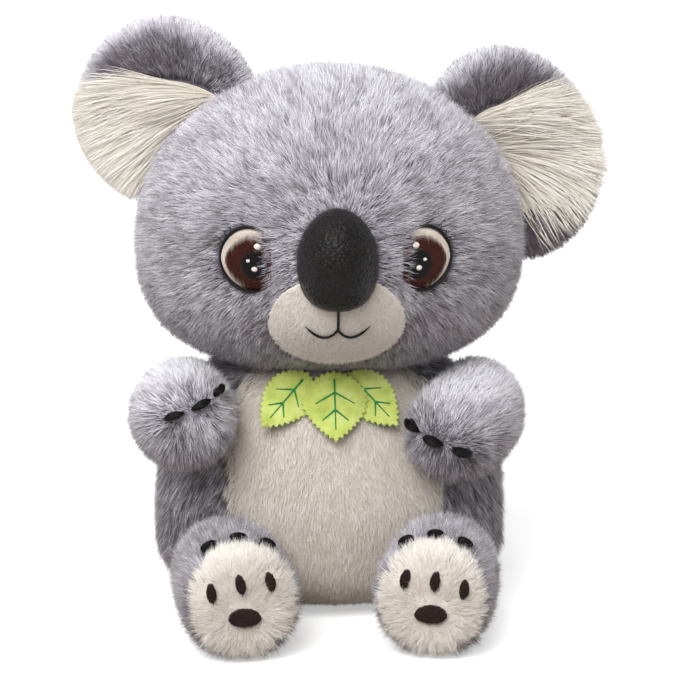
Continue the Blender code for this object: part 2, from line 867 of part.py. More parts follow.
def mouth_outline():
    """Return the mouth's outline from the top of its stem: down, out to a corner, back, and across."""
    half_line = MOUTH_LINE_WIDTH / 2
    lower, upper = [], []
    for share in steps_between(0, 1, MOUTH_POINTS):
        sag = MOUTH_SAG * math.sin(math.pi * share**MOUTH_SAG_POWER_SHARE)
        height = MOUTH_END_LIFT * share - MOUTH_STEM_LENGTH - sag
        out = MOUTH_HALF_WIDTH * share
        lower.append((out, height - half_line))
        upper.append((max(out, half_line), height + half_line))
    right = [(half_line, 0)] + upper + lower[::-1]
    left = [(-x, y) for x, y in reversed(right) if x > 0]
    return right + left


def build_mouth(pivot, skin):
    """Build the mouth, a stem and two curves of stitching that lie on the muzzle."""
    name = "mouth_stitching"
    depth = HEAD_HALF_DEPTH + MUZZLE_BULGE + CUT_OVERRUN
    line = outline_mesh(name, mouth_outline(), depth)
    frame = face_frame(0, HEAD_LEVEL - MOUTH_STEM_TOP_BELOW_LEVEL)
    line.transform(frame @ Matrix.Translation((0, 0, depth / 2)))
    keep(add_part(name, line, BLACK_THREAD, pivot), skin)


def build_eye(side_name, pivot, skin):
    """Build one eye as flat embroidery: outline with lashes, white, iris and pupil."""
    side = SIDES[side_name]
    frame = face_frame(side * EYE_OUT, HEAD_LEVEL + EYE_ABOVE_LEVEL)
    low = 0
    high = HEAD_HALF_DEPTH + CUT_OVERRUN

    def clipped(rim):
        def rim_inside(angle):
            x, y = rim(angle)
            return (max(x, -EYE_INNER_REACH) if side > 0 else min(x, EYE_INNER_REACH)), y

        return rim_inside

    def patch(name, rim, finish):
        made = add_part(name, column_mesh(name, ROUND_SEGMENTS, rim, low, high, frame), finish, pivot)
        keep(made, skin)
        return made

    def room(name, rim):
        return add_cutter(
            name, column_mesh(name, ROUND_SEGMENTS, rim, low - SEAM_GAP, high + SEAM_GAP, frame)
        )

    def lashed(angle):
        outward = math.degrees(angle if side < 0 else math.pi - angle) % 360
        near = min(abs(outward - lash) for lash in LASH_ANGLES_DEGREES)
        spike = max(1 - near / LASH_HALF_ANGLE_DEGREES, 0) * LASH_LENGTH
        reach = EYE_OUTLINE_WIDTH + spike
        return (
            (EYE_HALF_WIDTH + reach) * math.cos(angle),
            (EYE_HALF_HEIGHT + reach) * math.sin(angle),
        )

    white = oval(EYE_HALF_WIDTH, EYE_HALF_HEIGHT)
    white_room = oval(EYE_HALF_WIDTH + SEAM_GAP, EYE_HALF_HEIGHT + SEAM_GAP)
    iris_x = -side * IRIS_SHIFT_IN
    iris = oval(IRIS_HALF_WIDTH, IRIS_HALF_HEIGHT, iris_x, -IRIS_SHIFT_DOWN)
    iris_room = oval(
        IRIS_HALF_WIDTH + SEAM_GAP, IRIS_HALF_HEIGHT + SEAM_GAP, iris_x, -IRIS_SHIFT_DOWN
    )
    pupil_x = -side * PUPIL_SHIFT_IN
    pupil = oval(PUPIL_RADIUS, PUPIL_RADIUS, pupil_x, -PUPIL_SHIFT_DOWN)
    pupil_room = oval(
        PUPIL_RADIUS + SEAM_GAP, PUPIL_RADIUS + SEAM_GAP, pupil_x, -PUPIL_SHIFT_DOWN
    )

    outline = patch(f"eye_outline_{side_name}", clipped(lashed), BLACK_THREAD)
    cut(outline, room(f"eye_white_room_{side_name}", white_room))
    ball = patch(f"eye_white_{side_name}", clipped(white), IVORY_THREAD)
    cut(ball, room(f"eye_iris_room_{side_name}", iris_room))
    ring = patch(f"eye_iris_{side_name}", clipped(iris), BROWN_THREAD)
    cut(ring, room(f"eye_pupil_room_{side_name}", pupil_room))
    patch(f"eye_pupil_{side_name}", clipped(pupil), BLACK_THREAD)


# Ears


def build_ear(side_name, head_pivot, head_parts):
    """Build one ear's cover, lining and filling, and its root in a dimple of the head."""
    ear, root = ear_form(side_name)
    pivot = add_pivot(f"pivot_ear_{side_name}", root, head_pivot)
    inner = ear.grown(-COVER_WALL)
    cover = add_part(
        f"ear_cover_{side_name}",
        shell_mesh(f"ear_cover_{side_name}", ear, inner, EAR_COUNTS, EAR_INNER_COUNTS),
        GREY_PLUSH,
        pivot,
    )
    filling = add_part(
        f"ear_filling_{side_name}",
        form_mesh(f"ear_filling_{side_name}", ear.grown(-COVER_WALL - SEAM_GAP), EAR_INNER_COUNTS),
        WADDING,
        pivot,
    )
    wall = add_cutter(
        f"ear_wall_{side_name}",
        shell_mesh(f"ear_wall_{side_name}", ear, inner, EAR_COUNTS, EAR_INNER_COUNTS),
    )
    span = ear.half_span - EAR_LINING_INSET
    reach = ear.half_reach - EAR_LINING_INSET
    lining, opening = inset_panel(
        f"ear_lining_{side_name}",
        CREAM_PLUSH,
        pivot,
        wall,
        oval(span, reach),
        oval(span + SEAM_GAP, reach + SEAM_GAP),
        ear.frame(),
        -EAR_LINING_BACK_DEPTH,
        ear.half_thickness + CUT_OVERRUN,
    )
    cut(cover, opening)
    head_mesh = form_mesh("head_room", HEAD.grown(SEAM_GAP), LARGE_COUNTS)
    angles = steps_between(*EAR_FLOP_DEGREES, SWEEP_COPIES)
    heads = sweep_cutters(f"head_by_ear_{side_name}", head_mesh, root, ear.span_way, angles)
    ball = add_cutter(
        f"ear_root_{side_name}", ball_mesh(f"ear_root_{side_name}", root, EAR_ROOT_RADIUS)
    )
    dimple = add_cutter(
        f"ear_dimple_{side_name}",
        socket_mesh(f"ear_dimple_{side_name}", root, EAR_ROOT_RADIUS),
    )
    cut(cover, *heads)
    join(cover, ball)
    cut(filling, *heads, dimple)
    cut(lining, *heads, dimple)
    cut(head_parts[0], dimple)
    cut(head_parts[1], dimple)


# Body


def build_body():
    """Build the body's cover and filling, its belly panel and its closing seam."""
    inner = BODY.grown(-COVER_WALL)
    cover = add_part(
        "body_cover",
        shell_mesh("body_cover", BODY, inner, LARGE_COUNTS, LARGE_INNER_COUNTS),
        GREY_PLUSH,
    )
    filling = add_part(
        "body_filling",
        form_mesh("body_filling", BODY.grown(-COVER_WALL - SEAM_GAP), LARGE_INNER_COUNTS),
        WADDING,
    )
    wall = add_cutter(
        "body_wall", shell_mesh("body_wall", BODY, inner, LARGE_COUNTS, LARGE_INNER_COUNTS)
    )
    panel, opening = inset_panel(
        "belly_panel",
        WHITE_PLUSH,
        None,
        wall,
        oval(BELLY_HALF_WIDTH, BELLY_HALF_HEIGHT),
        oval(BELLY_HALF_WIDTH + SEAM_GAP, BELLY_HALF_HEIGHT + SEAM_GAP),
        face_frame(0, BODY_LEVEL + BELLY_ABOVE_LEVEL),
        BODY_HALF_DEPTH - BELLY_DEPTH,
        BODY_HALF_DEPTH + CUT_OVERRUN,
    )
    cut(cover, opening)
    head_mesh = form_mesh("head_over_body", HEAD.grown(SEAM_GAP), LARGE_COUNTS)
    heads = sweep_cutters(
        "head_by_body", head_mesh, HEAD.centre, UP, steps_between(*HEAD_TURN_DEGREES, SWEEP_COPIES)
    )
    neck = add_cutter("neck_ball", ball_mesh("neck_ball", NECK, NECK_RADIUS))
    neck_room = add_cutter("neck_room", ball_mesh("neck_room", NECK, NECK_RADIUS + SEAM_GAP))
    mouth = add_cutter(
        "neck_mouth",
        column_mesh(
            "neck_mouth",
            SMALL_ROUND_SEGMENTS,
            oval(NECK_MOUTH_RADIUS, NECK_MOUTH_RADIUS),
            -NECK_RADIUS - CUT_OVERRUN,
            NECK_RADIUS + CUT_OVERRUN,
            Matrix.Translation(NECK),
        ),
    )
    ground = add_cutter("ground", ground_mesh())
    cut(cover, *heads)
    join(cover, neck)
    cut(cover, mouth, ground)
    cut(filling, *heads, neck_room)
    cut(panel, *heads, neck_room)
    build_closing_seam()
    return cover, filling, panel, ground


def ground_mesh():
    """Return a block whose top is the ground."""
    side = (BODY_HALF_WIDTH + LEG_LENGTH + LEG_FOOT_RADIUS) * 2
    work = bmesh.new()
    bmesh.ops.create_cube(work, size=side, matrix=Matrix.Translation((0, 0, -side / 2)))
    return to_mesh("ground", work)


def build_closing_seam():
    """Build the thread that laces the back seam shut after filling."""
    surface = BODY.grown(SEAM_GAP + SEAM_THREAD_RADIUS)
    run = []
    for step in range(SEAM_STITCH_COUNT):
        side = 1 if step % 2 else -1
        z = BODY_LEVEL + SEAM_START_ABOVE_LEVEL + SEAM_STITCH_PITCH * step
        run.append(surface.back(side * SEAM_STITCH_HALF_WIDTH, z))
    mesh = thread_mesh("closing_seam_thread", [run], SEAM_THREAD_RADIUS)
    add_part("closing_seam_thread", mesh, GREY_THREAD)


# Limbs


def build_arm(side_name, body_parts):
    """Build one arm's cover and filling, and the claw stitches on its paw."""
    arm = arm_form(side_name)
    side = SIDES[side_name]
    pivot = add_pivot(f"pivot_arm_{side_name}", arm.root)
    swing = (-ARM_SWING_OUT_DEGREES, ARM_SWING_IN_DEGREES)
    angles = [-side * angle for angle in steps_between(*swing, SWEEP_COPIES)]
    cover, filling = build_limb(
        f"arm_{side_name}", arm, pivot, ARM_ROOT_RADIUS, ARM_MOUTH_RADIUS, angles, body_parts
    )
    right = side_name == "right"
    middle_out = math.radians(RIGHT_CLAW_OUT_DEGREES if right else LEFT_CLAW_OUT_DEGREES)
    middle_climb = math.radians(RIGHT_CLAW_CLIMB_DEGREES if right else LEFT_CLAW_CLIMB_DEGREES)
    roll = math.radians(CLAW_ROW_ROLL_DEGREES)
    seat = add_seat(f"arm_seat_{side_name}", arm)
    sizes = (CLAW_HALF_LENGTH, CLAW_HALF_WIDTH, CLAW_HALF_HEIGHT)
    for step in (-1, 0, 1):
        along = math.radians(CLAW_SPREAD_DEGREES) * step
        out = middle_out + along * math.cos(roll)
        climb = middle_climb - side * along * math.sin(roll)
        level = math.cos(climb)
        direction = Vector((level * math.sin(out), math.sin(climb), level * math.cos(out)))
        place, facing = arm.seat(direction)
        name = f"arm_claw_{side_name}_{step + 2}"
        add_mark(name, place, facing.cross(UP), facing, sizes, pivot, seat)


def add_seat(name, form):
    """Return a cutter that trims what is sewn on a limb to the limb's surface."""
    return add_cutter(name, form_mesh(name, form.grown(SEAM_GAP), LIMB_COUNTS))


def add_mark(name, place, long_way, facing, sizes, pivot, seat):
    """Add an oval pad of stitches that stands on a limb's surface."""
    mesh = stitch_mesh(name, place, long_way, facing, sizes)
    cut(add_part(name, mesh, GREY_THREAD, pivot), seat)


def build_limb(name, form, pivot, root_radius, mouth_radius, angles, body_parts):
    """Build a limb's cover and filling, with a ball root that turns in a dimple of the body."""
    inner = form.grown(-COVER_WALL)
    cover = add_part(
        f"{name}_cover",
        shell_mesh(f"{name}_cover", form, inner, LIMB_COUNTS, LIMB_INNER_COUNTS),
        GREY_PLUSH,
        pivot,
    )
    filling = add_part(
        f"{name}_filling",
        form_mesh(f"{name}_filling", form.grown(-COVER_WALL - SEAM_GAP), LIMB_INNER_COUNTS),
        WADDING,
        pivot,
    )
    body_mesh = form_mesh("body_room", BODY.grown(SEAM_GAP), LARGE_COUNTS)
    bodies = sweep_cutters(f"body_by_{name}", body_mesh, form.root, UP, angles)
    ball = add_cutter(f"{name}_root", ball_mesh(f"{name}_root", form.root, root_radius))
    dimple = add_cutter(
        f"{name}_dimple", socket_mesh(f"{name}_dimple", form.root, root_radius)
    )
    heading = form.spine(0)[1]
    mouth = add_cutter(
        f"{name}_mouth",
        column_mesh(
            f"{name}_mouth",
            SMALL_ROUND_SEGMENTS,
            oval(mouth_radius, mouth_radius),
            -root_radius - CUT_OVERRUN,
            root_radius + CUT_OVERRUN,
            Matrix.Translation(form.root) @ heading.to_track_quat("Z", "Y").to_matrix().to_4x4(),
        ),
    )
    cut(cover, *bodies)
    join(cover, ball)
    cut(cover, mouth)
    cut(filling, *bodies, dimple)
    for part in body_parts:
        cut(part, dimple)
    return cover, filling


def build_leg(side_name, body_parts, ground):
    """Build one leg's cover and filling, its sole, the sole's marks and the toe stitches."""
    leg = leg_form(side_name)
    side = SIDES[side_name]
    pivot = add_pivot(f"pivot_leg_{side_name}", leg.root)
    splay = (-LEG_SPLAY_OUT_DEGREES, LEG_SPLAY_IN_DEGREES)
    angles = [-side * angle for angle in steps_between(*splay, SWEEP_COPIES)]
    cover, filling = build_limb(
        f"leg_{side_name}", leg, pivot, LEG_ROOT_RADIUS, LEG_MOUTH_RADIUS, angles, body_parts
    )
    tip, heading, across, above = leg.tip_frame()
    turn = Matrix((across, above, heading)).transposed().to_4x4()
    frame = Matrix.Translation(tip) @ turn
    front = LEG_FOOT_RADIUS * LEG_FOOT_BLUNTNESS
    wall = add_cutter(
        f"leg_wall_{side_name}",
        shell_mesh(
            f"leg_wall_{side_name}", leg, leg.grown(-COVER_WALL), LIMB_COUNTS, LIMB_INNER_COUNTS
        ),
    )
    sole, opening = inset_panel(
        f"sole_{side_name}",
        WHITE_PLUSH,
        pivot,
        wall,
        oval(SOLE_RADIUS, SOLE_RADIUS),
        oval(SOLE_RADIUS + SEAM_GAP, SOLE_RADIUS + SEAM_GAP),
        frame,
        front - SOLE_RIM_DEPTH,
        front + CUT_OVERRUN,
    )
    cut(cover, opening, ground)
    cut(sole, ground)
    build_sole_marks(side_name, leg, pivot)


def build_sole_marks(side_name, leg, pivot):
    """Build the toe and pad marks on a sole, and the claw stitches over its toes."""
    heading, across, above = leg.tip_frame()[1:]
    roll = Matrix.Rotation(-SIDES[side_name] * math.radians(SOLE_ROLL_DEGREES), 2)
    seat = add_seat(f"leg_seat_{side_name}", leg)
    sizes = (TOE_MARK_HALF_HEIGHT, TOE_MARK_HALF_WIDTH, MARK_HALF_THICKNESS)
    toes = (
        (-TOE_MARK_OUT, TOE_MARK_SIDE_LIFT),
        (0, TOE_MARK_MIDDLE_LIFT),
        (TOE_MARK_OUT, TOE_MARK_SIDE_LIFT),
    )
    for step, toe in enumerate(toes, 1):
        place, facing = leg.seat(leg.end_direction(*(roll @ Vector(toe))))
        add_mark(f"toe_mark_{side_name}_{step}", place, above, facing, sizes, pivot, seat)
    sizes = (PAD_MARK_HALF_WIDTH, PAD_MARK_HALF_HEIGHT, MARK_HALF_THICKNESS)
    place, facing = leg.seat(leg.end_direction(0, -PAD_MARK_DROP))
    add_mark(f"pad_mark_{side_name}", place, across, facing, sizes, pivot, seat)
    fan = math.radians(TOE_CLAW_FAN_DEGREES)
    sizes = (TOE_CLAW_HALF_LENGTH, TOE_CLAW_HALF_WIDTH, TOE_CLAW_HALF_HEIGHT)
    for step, angle in enumerate(steps_between(-fan, fan, 3), 1):
        direction = Vector((math.sin(angle), math.cos(angle), TOE_CLAW_FORWARD_SHARE))
        place, facing = leg.seat(direction)
        add_mark(f"toe_claw_{side_name}_{step}", place, facing.cross(heading), facing, sizes, pivot, seat)


# Leaves


def leaf_frame(out, fan, layer):
    """Return a leaf's frame: first axis to the toy's right, second down the leaf, third outward."""
    z = HEAD_LEVEL - LEAF_ROOT_BELOW_LEVEL
    tilt = math.radians(LEAF_TILT_DEGREES)
    chest = BODY.front(0, z)
    root = Vector((0, chest.y - LEAF_ROOT_CHEST_GAP, z))
    across = Vector((-1, 0, 0))
    down = Vector((0, -math.sin(tilt), -math.cos(tilt)))
    outward = Vector((0, -math.cos(tilt), math.sin(tilt)))
    swing = Matrix.Rotation(fan, 3, outward)
    turn = Matrix((swing @ across, swing @ down, outward)).transposed().to_4x4()
    return Matrix.Translation(root + Vector((out, 0, 0)) + outward * layer) @ turn


def leaf_outline(half_width):
    """Return a leaf's pinked outline, its stem at the origin and its tip along +y."""
    teeth = round(LEAF_LENGTH / LEAF_PINK_PITCH) * 2
    edge = []
    for step in range(1, teeth):
        share = step / teeth
        arch = math.sin(math.pi * share**LEAF_WIDEST_POWER_SHARE)
        out = half_width * arch**LEAF_ROUNDNESS_POWER_SHARE
        notch = LEAF_PINK_DEPTH * (step % 2)
        edge.append((out + notch, LEAF_LENGTH * share))
    right = [(0, 0)] + edge + [(0, LEAF_LENGTH)]
    left = [(-x, y) for x, y in reversed(edge)]
    return right + left


def build_leaf(name, half_width, frame, pivot):
    """Build one felt leaf, the stem that ties it to the chest and the veins on its front."""
    plate = outline_mesh(f"leaf_{name}", leaf_outline(half_width), LEAF_THICKNESS)
    plate.transform(frame)
    leaf = add_part(f"leaf_{name}", plate, GREEN_FELT, pivot)
    root = frame.translation
    seat = BODY.front(root.x, HEAD_LEVEL - LEAF_ROOT_BELOW_LEVEL)
    gap = Vector((0, SEAM_GAP + LEAF_STEM_RADIUS / 2, 0))
    tie = [seat - gap, frame @ Vector((0, LEAF_STEM_DOWN, 0))]
    join(leaf, add_cutter(f"stem_{name}", thread_mesh(f"stem_{name}", [tie], LEAF_STEM_RADIUS)))
    lift = LEAF_THICKNESS / 2 + SEAM_GAP + VEIN_RADIUS
    start = LEAF_LENGTH * VEIN_MARGIN_SHARE
    end = LEAF_LENGTH * VEIN_END_SHARE
    middle = [frame @ Vector((0, start, lift)), frame @ Vector((0, end, lift))]
    mesh = thread_mesh(f"veins_{name}", [middle], VEIN_RADIUS)
    veins = add_part(f"veins_{name}", mesh, GREEN_THREAD, pivot)
    for side_name, side in SIDES.items():
        runs = []
        for share in VEIN_BRANCH_START_SHARES:
            out = side * half_width * VEIN_BRANCH_LENGTH_SHARE
            begin = LEAF_LENGTH * share
            places = ((0, begin), (out, begin + VEIN_BRANCH_DROP))
            runs.append([frame @ Vector((x, y, lift)) for x, y in places])
        branches = f"branches_{name}_{side_name}"
        join(veins, add_cutter(branches, thread_mesh(branches, runs, VEIN_RADIUS)))


def build_leaves():
    """Build the three leaves on their two pivots at the chest."""
    layer = LEAF_THICKNESS + VEIN_RADIUS * 2 + SEAM_GAP + LEAF_LAYER_GAP
    seat = BODY.front(0, HEAD_LEVEL - LEAF_ROOT_BELOW_LEVEL)
    axis = seat - Vector((0, SEAM_GAP + LEAF_PIVOT_DEPTH, 0))
    side_pivot = add_pivot("pivot_side_leaves", axis)
    centre_frame = leaf_frame(0, 0, layer)
    centre_pivot = add_pivot("pivot_centre_leaf", axis, side_pivot)
    fan = math.radians(SIDE_LEAF_FAN_DEGREES)
    for side_name, side in SIDES.items():
        out = RIGHT_LEAF_OUT if side_name == "right" else LEFT_LEAF_OUT
        frame = leaf_frame(side * out, side * fan, 0)
        build_leaf(side_name, SIDE_LEAF_HALF_WIDTH, frame, side_pivot)
    build_leaf("centre", LEAF_HALF_WIDTH, centre_frame, centre_pivot)


def main():
    """Build the whole toy."""
    clear_scene()
    add_collection(PARTS_NAME)
    add_collection(CUTTERS_NAME)
    head_pivot = add_pivot("pivot_head", HEAD.centre)
    head_parts = build_head(head_pivot)
    build_nose(head_pivot)
    skin = add_cutter(
        "face_skin",
        shell_mesh(
            "face_skin",
            HEAD.grown(SEAM_GAP + THREAD_RISE),
            HEAD.grown(SEAM_GAP),
            LARGE_COUNTS,
            LARGE_COUNTS,
        ),
    )
    build_mouth(head_pivot, skin)
    body_cover, body_filling, belly, ground = build_body()
    for side_name in SIDES:
        build_eye(side_name, head_pivot, skin)
        build_ear(side_name, head_pivot, head_parts)
        build_arm(side_name, (body_cover, body_filling, belly))
        build_leg(side_name, (body_cover, body_filling, belly), ground)
    build_leaves()


main()
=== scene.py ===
"""Looks of a seated plush koala: stuffed plush forms with their pile, an embroidered face and felt leaves.

Lengths are metres, +Z is up and the toy faces -Y. Left and right are the toy's own, so its left arm
is at +X. Every strand of pile, every stitch and every leaf is a mesh of its own size.
"""

import json
import logging
import math
from collections.abc import Callable
from dataclasses import dataclass, field, replace
from enum import Enum

import bmesh
import bpy
import numpy as np
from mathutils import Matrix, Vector
from mathutils.kdtree import KDTree


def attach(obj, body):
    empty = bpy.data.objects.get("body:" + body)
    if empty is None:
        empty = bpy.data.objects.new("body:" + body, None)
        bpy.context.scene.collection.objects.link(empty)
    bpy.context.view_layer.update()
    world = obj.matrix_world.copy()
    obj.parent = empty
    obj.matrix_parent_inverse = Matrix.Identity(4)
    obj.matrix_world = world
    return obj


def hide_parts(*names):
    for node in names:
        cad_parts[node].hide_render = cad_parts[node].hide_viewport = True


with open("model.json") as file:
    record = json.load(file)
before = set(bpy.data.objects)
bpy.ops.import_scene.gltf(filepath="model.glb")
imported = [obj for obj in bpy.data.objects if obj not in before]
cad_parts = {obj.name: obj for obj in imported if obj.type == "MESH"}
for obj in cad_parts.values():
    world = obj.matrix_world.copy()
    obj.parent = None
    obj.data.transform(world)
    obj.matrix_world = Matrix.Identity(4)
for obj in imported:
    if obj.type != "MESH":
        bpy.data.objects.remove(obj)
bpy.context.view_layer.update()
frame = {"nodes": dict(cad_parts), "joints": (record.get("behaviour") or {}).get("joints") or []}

log = logging.getLogger("plush_koala")

MM = 0.001
UP = np.array((0.0, 0.0, 1.0))
FORWARD = np.array((0.0, -1.0, 0.0))
GROUND_CLEARANCE = 0.0002
PADDED_FILL = 0.8
STITCH_WIDTH = 0.00042
SWAY_SIZE = 0.020
SWAY_SHARE = 0.20


class Side(Enum):
    """The toy's own sides, each with its sign along X."""

    RIGHT = -1
    LEFT = 1

    @property
    def label(self) -> str:
        """Return the side's word in piece, node and body names."""
        return self.name.lower()


class StitchWay(Enum):
    """How satin stitches run over an oval."""

    ALONG = "along its long way"
    ACROSS = "across its long way"


# Numbers and noise


def unit(vectors: np.ndarray) -> np.ndarray:
    """Return vectors scaled to length one."""
    return vectors / np.maximum(np.linalg.norm(vectors, axis=-1, keepdims=True), 1e-9)


def dot(first: np.ndarray, second: np.ndarray) -> np.ndarray:
    """Return the dot products of two lists of vectors, as a column."""
    return np.sum(first * second, axis=-1, keepdims=True)


def ripple(points: np.ndarray, size: float, seed: int) -> np.ndarray:
    """Return smooth noise of about -1 to 1.

    Args:
        points: the places, one a row.
        size: the width of its features, in metres.
        seed: the noise's own number.

    Returns:
        One value for each point.
    """
    rng = np.random.default_rng(seed)
    count = 9
    waves = rng.normal(size=(count, 3)) * (math.pi / size)
    phases = rng.uniform(0, 2 * math.pi, count)
    return np.sin(points @ waves.T + phases).sum(axis=1) / math.sqrt(count)


def smooth_step(values: np.ndarray, low: float, high: float) -> np.ndarray:
    """Return 0 below low, 1 above high and a smooth rise between them."""
    share = np.clip((values - low) / (high - low), 0, 1)
    return share * share * (3 - 2 * share)


def tangent(ways: np.ndarray, normals: np.ndarray) -> np.ndarray:
    """Return directions laid flat on the surface that the normals stand on."""
    return unit(ways - normals * dot(ways, normals))


def sway(points: np.ndarray, seed: int) -> np.ndarray:
    """Return the small wandering of a pile's comb over its cloth."""
    return np.stack([ripple(points, SWAY_SIZE, seed + axis) for axis in range(3)], 1) * SWAY_SHARE


def way_out(points: np.ndarray, ways: np.ndarray, centre: np.ndarray, halves: np.ndarray) -> np.ndarray:
    """Return how far flat points inside an ellipse lie from its edge.

    Args:
        points: the points, as distances along two axes.
        ways: the unit way from each point.
        centre: the ellipse's middle.
        halves: its half sizes along the two axes.

    Returns:
        The distance from each point along its way.
    """
    place, step = (points - centre) / halves, ways / halves
    a, b, c = (step**2).sum(1), (place * step).sum(1), (place**2).sum(1) - 1
    return (np.sqrt(np.maximum(b * b - a * c, 0)) - b) / a


def joint_place(name: str) -> np.ndarray:
    """Return a joint's place at rest."""
    return np.array(next(joint["pos_m"] for joint in frame["joints"] if joint["name"] == name))


# Stuffed forms


@dataclass(frozen=True)
class Rounded:
    """A stuffed form whose upper and lower halves have heights and fullness of their own."""

    centre: np.ndarray
    half_width: float
    half_depth: float
    rise: float
    drop: float
    upper_power: float
    lower_power: float
    bulge: float = 0.0
    bulge_spread_x: float = 0.034
    bulge_spread_z: float = 0.030
    bulge_below: float = 0.019

    def grown(self, by: float) -> "Rounded":
        """Return the form with its surface moved out by a distance."""
        return replace(
            self,
            half_width=self.half_width + by,
            half_depth=self.half_depth + by,
            rise=self.rise + by,
            drop=self.drop + by,
        )

    def bulged(self, local: np.ndarray) -> np.ndarray:
        """Return points about the centre with the muzzle's swelling added to the front half."""
        across = local[:, 0] / self.bulge_spread_x
        along = (local[:, 2] + self.bulge_below) / self.bulge_spread_z
        facing = np.clip(-local[:, 1] / self.half_depth, 0, 1)
        moved = local.copy()
        moved[:, 1] -= self.bulge * facing * np.exp(-(across**2) - along**2)
        return moved

    def place(self, directions: np.ndarray) -> np.ndarray:
        """Return the surface points that a unit sphere's points move to."""
        around = np.hypot(directions[:, 0], directions[:, 1])
        upper = directions[:, 2] > 0
        power = np.where(upper, self.upper_power, self.lower_power)
        scale = (around**power + np.abs(directions[:, 2]) ** power) ** (-1 / power)
        height = np.where(upper, self.rise, self.drop)
        reach = np.stack(
            (np.full(len(height), self.half_width), np.full(len(height), self.half_depth), height), 1
        )
        return self.centre + self.bulged(directions * scale[:, None] * reach)

    def encloses(self, points: np.ndarray, margin: float = 0.0) -> np.ndarray:
        """Return which points lie inside the form grown by a margin."""
        local = points - self.centre
        upper = local[:, 2] > 0
        power = np.where(upper, self.upper_power, self.lower_power)
        height = np.where(upper, self.rise, self.drop) + margin
        x = local[:, 0] / (self.half_width + margin)
        y = local[:, 1] / (self.half_depth + margin)
        return np.hypot(x, y) ** power + np.abs(local[:, 2] / height) ** power < 1

    def front(self, x: np.ndarray, z: np.ndarray) -> np.ndarray:
        """Return the front surface's points at world x and z."""
        across = x - self.centre[0]
        height = z - self.centre[2]
        upper = height > 0
        power = np.where(upper, self.upper_power, self.lower_power)
        share = np.clip(np.abs(height) / np.where(upper, self.rise, self.drop), 0, 1)
        full = (1 - share**power) ** (1 / power)
        y = -self.half_depth * np.sqrt(np.maximum(full**2 - (across / self.half_width) ** 2, 0))
        return self.centre + self.bulged(np.stack((across, y, height), 1))


@dataclass(frozen=True)
class Limb:
    """A stuffed tube on a bent spine that swells from its root to a rounded tip."""

    root: np.ndarray
    tip: np.ndarray
    bend: np.ndarray
    root_radius: float
    tip_radius: float
    tip_power: float
    bluntness: float

    def grown(self, by: float) -> "Limb":
        """Return the limb with its surface moved out by a distance."""
        return replace(self, root_radius=self.root_radius + by, tip_radius=self.tip_radius + by)

    def spine(self, share: np.ndarray) -> tuple[np.ndarray, np.ndarray]:
        """Return the spine's points and headings at shares of its length."""
        share = np.asarray(share, float)[:, None]
        middle = (self.root + self.tip) / 2 + self.bend
        start = self.root + (middle - self.root) * share
        end = middle + (self.tip - middle) * share
        return start + (end - start) * share, unit(end - start)

    def place(self, directions: np.ndarray) -> np.ndarray:
        """Return the surface points that a unit sphere's points move to, its pole at the tip."""
        around = np.hypot(directions[:, 0], directions[:, 1])
        front = directions[:, 2] > 0
        power = np.where(front, self.tip_power, 2.0)
        scale = (around**power + np.abs(directions[:, 2]) ** power) ** (-1 / power)
        along = directions[:, 2] * scale
        share = (1 + np.where(along > 0, along * (2 - along), along)) / 2
        point, heading = self.spine(share)
        side = unit(np.cross(UP, heading))
        above = np.cross(heading, side)
        radius = self.root_radius + (self.tip_radius - self.root_radius) * share
        reach = along * np.where(front, self.bluntness, 1.0)
        offset = side * (directions[:, 0] * scale)[:, None] + above * (directions[:, 1] * scale)[:, None]
        return point + (offset + heading * reach[:, None]) * radius[:, None]

    def encloses(self, points: np.ndarray, margin: float = 0.0) -> np.ndarray:
        """Return which points lie inside the limb grown by a margin."""
        inside = np.zeros(len(points), bool)
        for share in np.linspace(0, 1, 9):
            centre, _ = self.spine(np.array([share]))
            radius = self.root_radius + (self.tip_radius - self.root_radius) * share + margin
            inside |= np.linalg.norm(points - centre, axis=1) < radius
        return inside

    def end_direction(self, across: float, above: float) -> np.ndarray:
        """Return the direction to the blunt end's point at two distances from its middle."""
        away = math.hypot(across, above) / self.tip_radius
        forward = (1 - away**self.tip_power) ** (1 / self.tip_power)
        return np.array((across / self.tip_radius, above / self.tip_radius, forward))

    def tip_axes(self) -> tuple[np.ndarray, np.ndarray, np.ndarray]:
        """Return the tip's heading and the directions beside and above it."""
        heading = self.spine(np.array([1.0]))[1][0]
        side = unit(np.cross(UP, heading))
        return heading, side, np.cross(heading, side)


